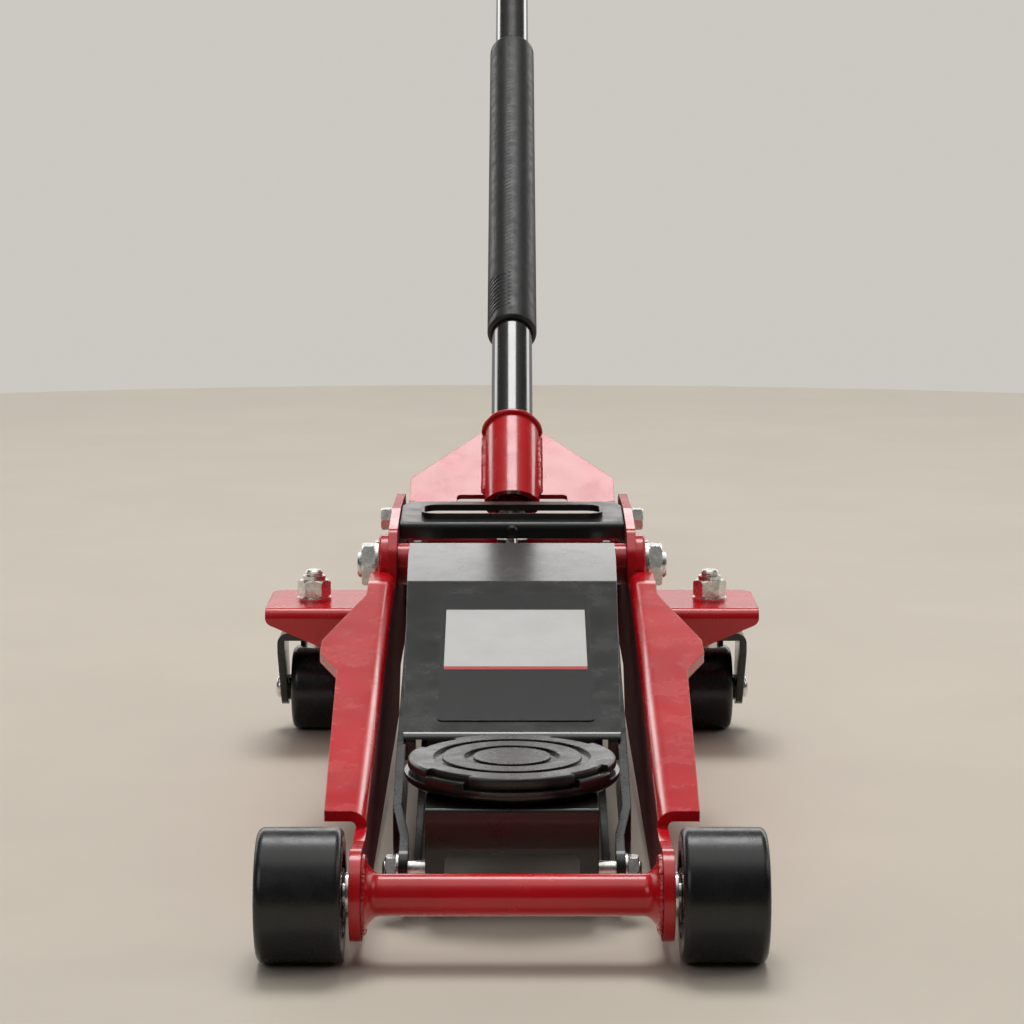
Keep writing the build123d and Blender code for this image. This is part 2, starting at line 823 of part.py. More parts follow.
# Tie rods, flat links either side of the bracket, and the studs in their front eyes
with BuildPart() as tie_rods:
    with BuildSketch(across(rod_inner)):
        with BuildLine() as rod_line:
            Line(rod_front, rod_rear)
        trace(line_width=rod_width)
        with Locations(rod_front, rod_rear):
            Circle(rod_eye_radius)
        with Locations(rod_front):
            Circle(rod_stud_radius + running_fit, mode=Mode.SUBTRACT)
        with Locations(rod_rear):
            Circle(anchor_bar_radius + running_fit, mode=Mode.SUBTRACT)
    extrude(amount=rod_thickness)
    mirror(about=Plane.YZ)

with BuildPart() as tie_rod_studs:
    with BuildSketch(across(bracket_half - bracket_wall)):
        with Locations(rod_front):
            Circle(rod_stud_radius)
    extrude(amount=rod_outer + 1.6 - bracket_half + bracket_wall)
    with BuildSketch(across(bracket_half)):
        with Locations(rod_front):
            Circle(rod_stud_head_radius)
    extrude(amount=rod_inner - bracket_half - seat_gap)
    with BuildSketch(across(rod_outer + weld_gap)):
        with Locations(rod_front):
            Circle(rod_stud_head_radius)
    extrude(amount=1.5)
    mirror(about=Plane.YZ)

# Saddle cup, a turned dish with four notches in its rim for the pad lugs
cup_bottom = bracket_top_height + seat_gap
wedge_length = 2 * saddle_radius
notch_wedge = wedge_length * tan(radians(notch_half_angle))
lug_wedge = wedge_length * tan(radians(pad_lug_half_angle))
with BuildPart() as saddle_cup:
    with BuildSketch(Plane.XZ.offset(-saddle_y)) as cup_section:
        with BuildLine():
            Polyline(
                (0, cup_bottom),
                (saddle_base_radius, cup_bottom),
                (saddle_radius, cup_bottom + 5.0),
                (saddle_radius, saddle_rim_height),
                (saddle_radius - saddle_rim_wall, saddle_rim_height),
                (saddle_radius - saddle_rim_wall - 1.0, cup_bottom + saddle_floor),
                (0, cup_bottom + saddle_floor),
                close=True,
            )
        make_face()
        lower_corner = cup_section.vertices().sort_by_distance((saddle_radius, cup_bottom + 5.0))[0]
        fillet(lower_corner, 4.0)
        rim_corners = cup_section.vertices().group_by(Axis.Y)[-1]
        fillet(rim_corners, 1.2)
    revolve(axis=Axis((0, saddle_y, 0), (0, 0, 1)))
    notch_floor = saddle_rim_height - saddle_notch_depth
    with BuildSketch(Plane.XY.offset(notch_floor)):
        with Locations((0, saddle_y)):
            with PolarLocations(0, 4, start_angle=saddle_set_angle):
                Polygon((0, 0), (wedge_length, -notch_wedge), (wedge_length, notch_wedge), align=None)
            Circle(saddle_base_radius - 4.0, mode=Mode.SUBTRACT)
    extrude(amount=2 * saddle_notch_depth, mode=Mode.SUBTRACT)
    with BuildSketch(Plane.XY.offset(cup_bottom - saddle_stem_length)):
        with Locations((0, saddle_y)):
            Circle(saddle_stem_radius)
    extrude(amount=saddle_stem_length)

# Lugs of the rubber pad, parts of one ring, each in a notch of the cup
lug_bottom = notch_floor + pad_lug_lift
lug_inner = saddle_base_radius - 4.0
with BuildPart() as pad_lugs:
    with BuildSketch(Plane.XZ.offset(-saddle_y)) as lug_section:
        with BuildLine():
            Polyline(
                (lug_inner, lug_bottom),
                (pad_lug_radius, lug_bottom),
                (pad_lug_radius, saddle_top_height),
                (lug_inner, saddle_top_height),
                close=True,
            )
        make_face()
        fillet(lug_section.vertices().sort_by_distance((pad_lug_radius, saddle_top_height))[0], pad_edge_radius)
    revolve(axis=Axis((0, saddle_y, 0), (0, 0, 1)))
    with BuildSketch(Plane.XY.offset(lug_bottom)):
        with Locations((0, saddle_y)):
            with PolarLocations(0, 4, start_angle=saddle_set_angle):
                Polygon((0, 0), (wedge_length, -lug_wedge), (wedge_length, lug_wedge), align=None)
    extrude(amount=saddle_top_height - lug_bottom, mode=Mode.INTERSECT)

# Rubber pad that fills the cup, with two rings cut in its top
pad_radius = saddle_radius - saddle_rim_wall - 1.0 - weld_gap
pad_bottom = cup_bottom + saddle_floor + weld_gap
with BuildPart() as saddle_pad:
    with BuildSketch(Plane.XZ.offset(-saddle_y)) as pad_section:
        with BuildLine():
            Polyline(
                (0, pad_bottom),
                (pad_radius, pad_bottom),
                (pad_radius, saddle_top_height),
                (0, saddle_top_height),
                close=True,
            )
        make_face()
        fillet(pad_section.vertices().sort_by_distance((pad_radius, saddle_top_height))[0], pad_edge_radius)
    revolve(axis=Axis((0, saddle_y, 0), (0, 0, 1)))
    add(pad_lugs.part)
    with BuildSketch(Plane.XY.offset(saddle_top_height - pad_groove_depth)):
        with Locations((0, saddle_y)):
            Circle(pad_groove_outer)
            Circle(pad_groove_outer - pad_groove_width, mode=Mode.SUBTRACT)
            Circle(pad_groove_inner)
            Circle(pad_groove_inner - pad_groove_width, mode=Mode.SUBTRACT)
    extrude(amount=pad_groove_depth, mode=Mode.SUBTRACT)

with BuildPart() as saddle_clip:
    with BuildSketch(Plane.XY.offset(bracket_boss_bottom - seat_gap - saddle_clip_thickness)):
        with Locations((0, saddle_y)):
            Circle(saddle_clip_radius)
            Circle(saddle_stem_radius + running_fit, mode=Mode.SUBTRACT)
    extrude(amount=saddle_clip_thickness)

# Rear caster arms, each a folded plate with a gusset at its front
with BuildPart() as right_caster_arm:
    with BuildSketch(across(frame_outer)) as arm_fold:
        with BuildLine():
            Polyline(
                *side(
                    (caster_arm_front_reach, caster_gusset_bottom),
                    (caster_arm_front_reach, caster_arm_height),
                    (caster_arm_rear_reach, caster_arm_height),
                    (caster_arm_rear_reach, caster_arm_height - caster_sheet),
                    (caster_arm_front_reach + caster_sheet, caster_arm_height - caster_sheet),
                    (caster_arm_front_reach + caster_sheet, caster_gusset_bottom),
                ),
                close=True,
            )
        make_face()
        fold_outer = (axle_y + caster_arm_front_reach, caster_arm_height)
        fold_inner = (fold_outer[0] + caster_sheet, caster_arm_height - caster_sheet)
        fillet(arm_fold.vertices().sort_by_distance(fold_outer)[0], caster_fold_radius)
        fillet(arm_fold.vertices().sort_by_distance(fold_inner)[0], caster_fold_radius - caster_sheet)
    extrude(amount=caster_arm_half - frame_outer)
    with BuildSketch(Plane.XZ.offset(-axle_y)) as gusset_outline:
        with BuildLine():
            FilletPolyline(
                (frame_outer, caster_arm_height + 1),
                (caster_arm_half, caster_arm_height + 1),
                (caster_arm_half, caster_arm_height - 10),
                (kingpin_half - 10, caster_arm_height - 28),
                (kingpin_half - 17, caster_gusset_bottom),
                (frame_outer, caster_gusset_bottom),
                radius=[0, 0, 6, 8, 4, 0],
                close=True,
            )
        make_face()
    extrude(amount=-2 * caster_arm_rear_reach, mode=Mode.INTERSECT)
    rear_corner = (caster_arm_half, axle_y + caster_arm_rear_reach, caster_arm_height)
    upright = right_caster_arm.edges().filter_by(Axis.Z)
    fillet(upright.sort_by_distance(rear_corner)[0], 10)
    with BuildSketch(Plane.XY):
        with Locations((kingpin_half, kingpin_y)):
            Circle(kingpin_radius + running_fit)
    extrude(amount=2 * caster_arm_height, mode=Mode.SUBTRACT)

with BuildPart() as left_caster_arm:
    add(right_caster_arm.part)
    mirror(about=Plane.YZ, mode=Mode.REPLACE)

# Kingpins, thrust bearings, washers and lock nuts of the casters
arm_underside = caster_arm_height - caster_sheet
washer_top = caster_arm_height + kingpin_washer_thickness
kingpin_head_top = fork_crown_height - fork_sheet - seat_gap
kingpin_top = washer_top + kingpin_nut_height + kingpin_nut_dome + 4.0
with BuildPart() as caster_kingpins:
    with BuildSketch(Plane.XY.offset(kingpin_head_top - kingpin_head_height)):
        with Locations((kingpin_half, kingpin_y)):
            Circle(kingpin_radius + 4.0)
    extrude(amount=kingpin_head_height)
    with BuildSketch(Plane.XY.offset(kingpin_head_top)):
        with Locations((kingpin_half, kingpin_y)):
            Circle(kingpin_radius)
    extrude(amount=kingpin_top - kingpin_head_top)
    chamfer(caster_kingpins.faces().sort_by(Axis.Z)[-1].edges(), 1.2)
    mirror(about=Plane.YZ)

with BuildPart() as caster_bearings:
    with BuildSketch(Plane.XZ.offset(-kingpin_y)):
        with BuildLine():
            Polyline(
                (kingpin_half + kingpin_radius + running_fit, fork_crown_height + seat_gap),
                (kingpin_half + bearing_radius - 2, fork_crown_height + seat_gap),
                (kingpin_half + bearing_radius, fork_crown_height + 3),
                (kingpin_half + bearing_radius, fork_crown_height + 7),
                (kingpin_half + bearing_radius - 5, arm_underside - weld_gap),
                (kingpin_half + kingpin_radius + running_fit, arm_underside - weld_gap),
                close=True,
            )
        make_face()
    revolve(axis=Axis((kingpin_half, kingpin_y, 0), (0, 0, 1)))
    mirror(about=Plane.YZ)

nut_base = Plane(origin=(kingpin_half, kingpin_y, washer_top), x_dir=(1, 0, 0), z_dir=(0, 0, 1))
with BuildPart() as caster_nuts:
    with BuildSketch(Plane.XY.offset(caster_arm_height)):
        with Locations((kingpin_half, kingpin_y)):
            Circle(kingpin_washer_radius)
            Circle(kingpin_radius + running_fit, mode=Mode.SUBTRACT)
    extrude(amount=kingpin_washer_thickness)
    add(hex_prism(nut_base, kingpin_nut_flats, kingpin_nut_height, kingpin_radius + running_fit, 1.6))
    with BuildSketch(Plane.XY.offset(washer_top + kingpin_nut_height)):
        with Locations((kingpin_half, kingpin_y)):
            Circle(kingpin_nut_flats / 2 - 2)
            Circle(kingpin_radius + running_fit, mode=Mode.SUBTRACT)
    extrude(amount=kingpin_nut_dome)
    mirror(about=Plane.YZ)

# Caster forks, each bent from one plate over its wheel
fork_outer = fork_inner + fork_sheet
wheel_y = kingpin_y + wheel_trail
with BuildPart() as right_caster_fork:
    with BuildSketch(Plane.XZ.offset(-kingpin_y + 2 * fork_eye_radius)) as fork_section:
        with Locations((kingpin_half, fork_crown_height / 2)):
            Rectangle(2 * fork_outer, fork_crown_height)
        fillet(fork_section.vertices().group_by(Axis.Y)[-1], 7)
        with Locations((kingpin_half, (fork_crown_height - fork_sheet) / 2)):
            Rectangle(2 * fork_inner, fork_crown_height - fork_sheet, mode=Mode.SUBTRACT)
    extrude(amount=-2 * wheel_trail - 4 * fork_eye_radius)
    with BuildSketch(across(kingpin_half - fork_outer)):
        with BuildLine():
            FilletPolyline(
                (kingpin_y - fork_crown_half, fork_crown_height),
                (kingpin_y + fork_crown_half, fork_crown_height),
                (wheel_y + fork_eye_radius - 0.4, wheel_radius + 3),
                (wheel_y - fork_eye_radius + 3, wheel_radius - 8),
                (kingpin_y - fork_crown_half, fork_crown_height - 14),
                radius=[0, 6, 0, 0, 8],
                close=True,
            )
        make_face()
        with Locations((wheel_y, wheel_radius)):
            Circle(fork_eye_radius)
            Circle(wheel_axle_radius + running_fit, mode=Mode.SUBTRACT)
    extrude(amount=2 * fork_outer, mode=Mode.INTERSECT)
    with BuildSketch(Plane.XY):
        with Locations((kingpin_half, kingpin_y)):
            Circle(kingpin_radius + running_fit)
    extrude(amount=fork_crown_height, mode=Mode.SUBTRACT)

with BuildPart() as left_caster_fork:
    add(right_caster_fork.part)
    mirror(about=Plane.YZ, mode=Mode.REPLACE)

# Caster axles, rivets with a domed head at each end
axle_start_x = kingpin_half - fork_outer - wheel_axle_head
with BuildPart() as right_caster_axle:
    with BuildSketch(across(kingpin_half - fork_outer)):
        with Locations((wheel_y, wheel_radius)):
            Circle(wheel_axle_radius)
    extrude(amount=2 * fork_outer)
    for head_x in (axle_start_x, kingpin_half + fork_outer):
        with BuildSketch(across(head_x)):
            with Locations((wheel_y, wheel_radius)):
                Circle(wheel_axle_radius + 2.5)
        extrude(amount=wheel_axle_head)
    outer_rims = right_caster_axle.edges().filter_by(GeomType.CIRCLE)
    outer_rims = outer_rims.filter_by(lambda rim: abs(rim.center().X - kingpin_half) > fork_outer + 1)
    fillet(outer_rims, wheel_axle_head - 1.0)

with BuildPart() as left_caster_axle:
    add(right_caster_axle.part)
    mirror(about=Plane.YZ, mode=Mode.REPLACE)

# Caster wheels with rounded tread edges and a hub either side
wheel_half = wheel_width / 2
with BuildPart() as right_caster_wheel:
    with BuildSketch(across(kingpin_half - wheel_half)):
        with Locations((wheel_y, wheel_radius)):
            Circle(wheel_radius)
    extrude(amount=wheel_width)
    fillet(right_caster_wheel.edges().filter_by(GeomType.CIRCLE), wheel_edge)
    for recess_x in (kingpin_half - wheel_half, kingpin_half + wheel_half - wheel_recess):
        with BuildSketch(across(recess_x)):
            with Locations((wheel_y, wheel_radius)):
                Circle(wheel_radius - 10)
                Circle(wheel_axle_radius + 4, mode=Mode.SUBTRACT)
        extrude(amount=wheel_recess, mode=Mode.SUBTRACT)
    for hub_x in (kingpin_half - fork_inner + seat_gap, kingpin_half + wheel_half):
        with BuildSketch(across(hub_x)):
            with Locations((wheel_y, wheel_radius)):
                Circle(wheel_axle_radius + 4)
        extrude(amount=fork_inner - wheel_half - seat_gap)
    with BuildSketch(across(kingpin_half - fork_inner)):
        with Locations((wheel_y, wheel_radius)):
            Circle(wheel_axle_radius + running_fit)
    extrude(amount=2 * fork_inner, mode=Mode.SUBTRACT)

with BuildPart() as left_caster_wheel:
    add(right_caster_wheel.part)
    mirror(about=Plane.YZ, mode=Mode.REPLACE)

# Power unit: reservoir tube round the cylinder, gland at the front and cast base behind
unit_front_y = axle_y + gland_front_reach
base_front_y = axle_y + base_front_reach
base_rear_y = axle_y + base_rear_reach
ram_front_y = horn[0] + horn_roller_radius + ram_stroke_gap
plunger_y = yoke_y + cam_radius
cam_rest_angle = radians(cam_travel / 2)
cam = (yoke_y + cam_radius * cos(cam_rest_angle), yoke_height - cam_radius * sin(cam_rest_angle))
plunger_top = cam[1] - cam_roller_radius - 2 * seat_gap


def facing_back(y):
    """Plane of a front view at Y = y: its x runs right, its y runs up, and it faces back."""
    return Plane(origin=(0, y, 0), x_dir=(-1, 0, 0), z_dir=(0, 1, 0))


with BuildPart() as ram_cylinder:
    with BuildSketch(facing_back(unit_front_y)):
        with Locations((0, unit_height)):
            Circle(reservoir_radius)
    extrude(amount=gland_length)
    chamfer(ram_cylinder.faces().sort_by(Axis.Y)[0].edges(), 3)
    with BuildSketch(facing_back(unit_front_y)):
        with Locations((0, unit_height)):
            with PolarLocations(reservoir_radius - 9, 4, start_angle=45):
                Circle(2.5)
    extrude(amount=gland_length / 2, mode=Mode.SUBTRACT)
    with BuildSketch(facing_back(unit_front_y + gland_length)):
        with Locations((0, unit_height)):
            Circle(cylinder_radius)
    extrude(amount=base_front_y - unit_front_y - gland_length)
    with BuildSketch(facing_back(unit_front_y)):
        with Locations((0, unit_height)):
            Circle(ram_radius + running_fit)
    extrude(amount=base_front_y - unit_front_y, mode=Mode.SUBTRACT)

# Release valve spindle, a ball at the yoke pivot on a stem that points down into its boss
valve_tilt = radians(handle_angle + cam_travel / 2)
stem_down = Vector(0, -cos(valve_tilt), -sin(valve_tilt))
yoke_centre = Vector(0, yoke_y, yoke_height)
stem_plane = Plane(origin=yoke_centre, x_dir=(1, 0, 0), z_dir=stem_down)
with BuildPart() as valve_spindle:
    with BuildSketch(stem_plane.offset(ball_radius - 2)):
        Circle(spindle_radius)
    extrude(amount=spindle_length - ball_radius + 2)
    with Locations(yoke_centre):
        Sphere(ball_radius)
    with BuildSketch(stem_plane.offset(valve_boss_start - 4)):
        Circle(spindle_radius + 2.5)
    extrude(amount=3)

# Reservoir tube with the valve boss welded to its top
with BuildPart() as reservoir_tube:
    with BuildSketch(facing_back(unit_front_y + gland_length)):
        with Locations((0, unit_height)):
            Circle(reservoir_radius)
    extrude(amount=base_front_y - unit_front_y - gland_length)
    with BuildSketch(stem_plane.offset(valve_boss_start)):
        Circle(valve_boss_radius)
    extrude(amount=24)
    with BuildSketch(facing_back(unit_front_y + gland_length)):
        with Locations((0, unit_height)):
            Circle(reservoir_radius - reservoir_wall)
    extrude(amount=base_front_y - unit_front_y - gland_length, mode=Mode.SUBTRACT)
    with BuildSketch(stem_plane.offset(valve_boss_start)):
        Circle(spindle_radius + running_fit)
    extrude(amount=spindle_length - valve_boss_start + 1, mode=Mode.SUBTRACT)

with BuildPart() as power_unit_base:
    with BuildSketch(facing_back(base_front_y)) as base_front:
        with Locations((0, (base_bottom_height + base_top_height) / 2)):
            Rectangle(2 * base_half, base_top_height - base_bottom_height)
        fillet(base_front.vertices(), 8)
    extrude(amount=base_rear_y - base_front_y)
    with BuildSketch(facing_back(base_front_y + base_flange_front)) as base_flange:
        with Locations((0, (base_ear_bottom_height + base_ear_top_height) / 2)):
            Rectangle(2 * frame_inner, base_ear_top_height - base_ear_bottom_height)
        fillet(base_flange.vertices(), 5)
    extrude(amount=base_flange_depth)
    with BuildSketch(facing_back(base_front_y + base_flange_front)) as base_lugs:
        with Locations((0, unit_bolt_height)):
            Rectangle(2 * frame_inner, 2 * base_lug_height)
    extrude(amount=2 * (unit_bolt_setback - base_flange_front))
    with BuildSketch(Plane.XY.offset(base_top_height - 3)):
        with Locations((0, plunger_y)):
            Circle(pump_boss_radius)
    extrude(amount=pump_boss_height - base_top_height + 3)
    with BuildSketch(Plane.XY.offset(plunger_bore_floor - 1.0)):
        with Locations((0, plunger_y)):
            Circle(plunger_radius + running_fit)
    extrude(amount=pump_boss_height, mode=Mode.SUBTRACT)
    with BuildSketch(facing_back(base_front_y)):
        with Locations((0, unit_height)):
            Circle(ram_radius + seat_gap)
    extrude(amount=12, mode=Mode.SUBTRACT)
    with BuildSketch(across(-frame_inner)):
        with Locations(unit_bolt):
            Circle(unit_bolt_radius + running_fit)
    extrude(amount=20, mode=Mode.SUBTRACT)
    with BuildSketch(across(frame_inner - 20)):
        with Locations(unit_bolt):
            Circle(unit_bolt_radius + running_fit)
    extrude(amount=20, mode=Mode.SUBTRACT)

unit_head_plane = Plane(origin=(frame_outer + 2, *unit_bolt), x_dir=(0, 1, 0), z_dir=(1, 0, 0))
with BuildPart() as power_unit_bolts:
    with BuildSketch(across(frame_inner - 18)):
        with Locations(unit_bolt):
            Circle(unit_bolt_radius)
    extrude(amount=plate_thickness + 18 + 2)
    with BuildSketch(across(frame_outer)):
        with Locations(unit_bolt):
            Circle(unit_bolt_radius + 5)
    extrude(amount=2)
    add(hex_prism(unit_head_plane, 16.0, 6.5, 0))
    mirror(about=Plane.YZ)

with BuildPart() as filler_plug:
    with BuildSketch(Plane.XY.offset(unit_height + reservoir_radius - 6)):
        with Locations((0, unit_front_y + 22)):
            Circle(7)
    extrude(amount=9)
    chamfer(filler_plug.faces().sort_by(Axis.Z)[-1].edges(), 1.5)
    with BuildSketch(facing_back(unit_front_y)):
        with Locations((0, unit_height)):
            Circle(reservoir_radius + weld_gap)
    extrude(amount=60, mode=Mode.SUBTRACT)

# Ram and pump plunger
ram_rear_y = base_front_y + 9
with BuildPart() as ram:
    with BuildSketch(facing_back(ram_front_y)):
        with Locations((0, unit_height)):
            Circle(ram_radius)
    extrude(amount=ram_rear_y - ram_front_y)
    chamfer(ram.edges().filter_by(GeomType.CIRCLE), 1.5)

with BuildPart() as pump_plunger:
    with BuildSketch(Plane.XY.offset(plunger_bore_floor)):
        with Locations((0, plunger_y)):
            Circle(plunger_radius)
    extrude(amount=plunger_top - plunger_bore_floor)
    with BuildSketch(Plane.XY.offset(plunger_top - 4)):
        with Locations((0, plunger_y)):
            Circle(plunger_head_radius)
    extrude(amount=4)

spring_length = plunger_top - 4 - pump_boss_height - 2 * weld_gap
spring_radius = plunger_radius + spring_wire / 2 + seat_gap
spring_start = (0, plunger_y, pump_boss_height + weld_gap + spring_wire / 2)
with BuildPart() as pump_spring:
    with BuildLine(Plane(origin=spring_start)) as spring_path:
        Helix((spring_length - spring_wire) / spring_coils, spring_length - spring_wire, spring_radius)
    with BuildSketch(Plane(spring_path.line @ 0, z_dir=spring_path.line % 0)):
        Circle(spring_wire / 2)
    sweep(path=spring_path.line, is_frenet=True)

# Top cover, folded down at its front, with a long slot in a raised rim
lid_rise = (lid_rear_height - lid_front_height) / (lid_rear_reach - lid_front_reach)
lid_slot_middle = (lid_slot_front_reach + lid_slot_rear_reach) / 2
lid_slot_depth = lid_slot_rear_reach - lid_slot_front_reach
with BuildPart() as top_cover:
    with BuildSketch(across(-lid_front_half)):
        with BuildLine():
            FilletPolyline(
                *side(
                    (lid_front_reach + lid_sheet / 2, lid_front_height - lid_fold),
                    (lid_front_reach + lid_sheet / 2, lid_front_height - lid_sheet / 2),
                    (lid_rear_reach, lid_rear_height - lid_sheet / 2),
                ),
                radius=3,
            )
        trace(line_width=lid_sheet)
    extrude(amount=2 * lid_front_half)
    with BuildSketch(Plane.XY.offset(lid_front_height + lid_rise * (lid_slot_middle - lid_front_reach) - 2)):
        with Locations((0, axle_y + lid_slot_middle)):
            RectangleRounded(
                2 * (lid_slot_half + lid_slot_rim),
                lid_slot_depth + 2 * lid_slot_rim,
                lid_slot_radius + lid_slot_rim,
            )
    extrude(amount=2 + 2.5)
    with BuildSketch(Plane.XY):
        with Locations((0, axle_y + lid_slot_middle)):
            RectangleRounded(2 * lid_slot_half, lid_slot_depth, lid_slot_radius)
    extrude(amount=2 * lid_rear_height, mode=Mode.SUBTRACT)
    with BuildSketch(Plane.XY):
        with BuildLine():
            FilletPolyline(
                (lid_front_half, axle_y + lid_front_reach - 1),
                (lid_front_half, axle_y + lid_rear_reach - 14),
                (lid_rear_half, axle_y + lid_rear_reach),
                (-lid_rear_half, axle_y + lid_rear_reach),
                (-lid_front_half, axle_y + lid_rear_reach - 14),
                (-lid_front_half, axle_y + lid_front_reach - 1),
                radius=[0, 4, 2, 2, 4, 0],
                close=True,
            )
        make_face()
    extrude(amount=2 * lid_rear_height, mode=Mode.INTERSECT)
    for flange_x in (-lid_front_half, lid_front_half - lid_sheet):
        with BuildSketch(across(flange_x)):
            with BuildLine():
                Polyline(
                    *side(
                        (lid_front_reach + 4, lid_front_height - lid_fold),
                        (lid_front_reach + 4, lid_front_height - lid_sheet + 4 * lid_rise),
                        (lid_rear_reach - 16, lid_rear_height - lid_sheet - 16 * lid_rise),
                        (lid_rear_reach - 16, lid_front_height - lid_fold),
                    ),
                    close=True,
                )
            make_face()
        extrude(amount=lid_sheet)

cover_screw_height = lid_front_height - lid_fold / 2 - 0.5
with BuildPart() as cover_screw:
    with BuildSketch(facing_back(axle_y + lid_front_reach - 2.6)):
        with Locations((0, cover_screw_height)):
            Circle(4.2)
    extrude(amount=2.5)
    chamfer(cover_screw.faces().sort_by(Axis.Y)[0].edges(), 1.2)


def under_socket_foot(gap):
    """Solid under the slanted foot of the handle socket, gap clear of it."""
    with BuildPart() as foot_room:
        with BuildSketch(yoke_side(-collar_radius)):
            with BuildLine():
                Polyline(
                    (socket_front_bottom - gap, socket_radius),
                    (socket_bottom - gap, -socket_radius),
                    (socket_bottom - gap, -collar_radius),
                    (-collar_radius, -collar_radius),
                    (-collar_radius, socket_radius),
                    close=True,
                )
            make_face()
        extrude(amount=2 * collar_radius)
    return foot_room.part


# Yoke: a sloping wing each side of the socket, with an ear at its outer edge
handle_line = Vector(0, cos(tilt), sin(tilt))
handle_face = Vector(0, -sin(tilt), cos(tilt))
yoke_front = Plane(origin=yoke_centre, x_dir=(1, 0, 0), z_dir=handle_face)
handle_axis = Plane(origin=yoke_centre, x_dir=(1, 0, 0), z_dir=handle_line)


def yoke_side(x):
    """Plane of a side view of the yoke at X = x: its x runs up the handle, its y towards the front."""
    return Plane(origin=yoke_centre + Vector(x, 0, 0), x_dir=handle_line, z_dir=(1, 0, 0))


half_web = yoke_sheet / 2
with BuildPart() as yoke_wings:
    with BuildSketch(yoke_front.offset(-half_web)):
        with BuildLine():
            FilletPolyline(
                (-yoke_half, yoke_web_bottom),
                (yoke_half, yoke_web_bottom),
                (yoke_half, yoke_shoulder),
                (yoke_neck_half, yoke_top),
                (-yoke_neck_half, yoke_top),
                (-yoke_half, yoke_shoulder),
                radius=[0, 0, 5, 0, 0, 5],
                close=True,
            )
        make_face()
        with Locations((0, yoke_web_bottom)):
            RectangleRounded(2 * yoke_notch_half, 2 * (yoke_notch_top - yoke_web_bottom), 3, mode=Mode.SUBTRACT)
    extrude(amount=yoke_sheet)
    with BuildSketch(handle_axis):
        Circle(socket_radius + weld_gap)
    extrude(amount=socket_top, mode=Mode.SUBTRACT)
    for ear_x in (-yoke_half, yoke_half - yoke_sheet):
        with BuildSketch(yoke_side(ear_x)):
            with BuildLine():
                Polyline(
                    (0, -yoke_eye_radius),
                    (yoke_shoulder - 12, -yoke_eye_radius),
                    (yoke_shoulder - 2, -half_web - 2),
                    (yoke_shoulder - 2, half_web),
                    (yoke_web_bottom, half_web),
                    (0, yoke_eye_radius),
                    close=True,
                )
            make_face()
            Circle(yoke_eye_radius)
            Circle(yoke_bolt_radius + running_fit, mode=Mode.SUBTRACT)
        extrude(amount=yoke_sheet)

with BuildPart() as handle_socket:
    with BuildSketch(handle_axis.offset(socket_front_bottom)):
        Circle(socket_radius)
    extrude(amount=socket_top - socket_front_bottom)
    with BuildSketch(handle_axis.offset(socket_top - collar_width)):
        Circle(collar_radius)
    extrude(amount=collar_width)
    collar_rims = handle_socket.edges().filter_by(GeomType.CIRCLE)
    collar_rims = collar_rims.filter_by(lambda rim: abs(rim.radius - collar_radius) < 0.01)
    fillet(collar_rims, 1.4)
    with BuildSketch(handle_axis.offset(socket_front_bottom)):
        Circle(lower_tube_radius + running_fit)
    extrude(amount=socket_top, mode=Mode.SUBTRACT)
    add(under_socket_foot(0), mode=Mode.SUBTRACT)

# Room that the socket takes up, a little larger than the socket
with BuildPart() as socket_room:
    with BuildSketch(handle_axis.offset(socket_front_bottom - weld_gap)):
        Circle(socket_radius + weld_gap)
    extrude(amount=socket_top)
    add(under_socket_foot(weld_gap), mode=Mode.SUBTRACT)

# Cam lugs under the socket, with the pin and roller that press the pump plunger
cam_drop = radians(handle_angle + cam_travel / 2)
cam_in_yoke = (cam_radius * cos(cam_drop), -cam_radius * sin(cam_drop))
with BuildPart() as cam_lugs:
    for lug_x in (-cam_lug_inner - cam_lug_thickness, cam_lug_inner):
        with BuildSketch(yoke_side(lug_x)):
            with BuildLine():
                Polyline(
                    (cam_in_yoke[0] - 2, cam_in_yoke[1] + cam_lug_radius - 0.3),
                    (socket_bottom + 3, -6),
                    (socket_bottom + 34, -6),
                    (socket_bottom + 34, cam_in_yoke[1] - 2),
                    (cam_in_yoke[0] + 3, cam_in_yoke[1] - cam_lug_radius + 0.6),
                    close=True,
                )
            make_face()
            with Locations(cam_in_yoke):
                Circle(cam_lug_radius)
                Circle(cam_pin_radius + running_fit, mode=Mode.SUBTRACT)
        extrude(amount=cam_lug_thickness)
    add(socket_room.part, mode=Mode.SUBTRACT)

cam_pin_half = cam_lug_inner + cam_lug_thickness + 2
with BuildPart() as cam_pin:
    with BuildSketch(yoke_side(-cam_pin_half)):
        with Locations(cam_in_yoke):
            Circle(cam_pin_radius)
    extrude(amount=2 * cam_pin_half)

with BuildPart() as cam_roller:
    with BuildSketch(yoke_side(-cam_lug_inner + seat_gap)):
        with Locations(cam_in_yoke):
            Circle(cam_roller_radius)
            Circle(cam_pin_radius + running_fit, mode=Mode.SUBTRACT)
    extrude(amount=2 * (cam_lug_inner - seat_gap))

# Yoke pivot bolts with a nut inside each ear, and the washers between ear and side plate
yoke_head_plane = Plane(origin=(frame_outer + 2.5, *yoke), x_dir=(0, 1, 0), z_dir=(1, 0, 0))
with BuildPart() as yoke_pivot_bolts:
    with BuildSketch(across(yoke_half - yoke_sheet - 7)):
        with Locations(yoke):
            Circle(yoke_bolt_radius)
    extrude(amount=frame_outer + 2.5 - yoke_half + yoke_sheet + 7)
    with BuildSketch(across(frame_outer + weld_gap)):
        with Locations(yoke):
            Circle(yoke_bolt_flats / 2 + 1.5)
    extrude(amount=2.5 - weld_gap)
    add(hex_prism(yoke_head_plane, yoke_bolt_flats, yoke_bolt_head, 0))
    mirror(about=Plane.YZ)

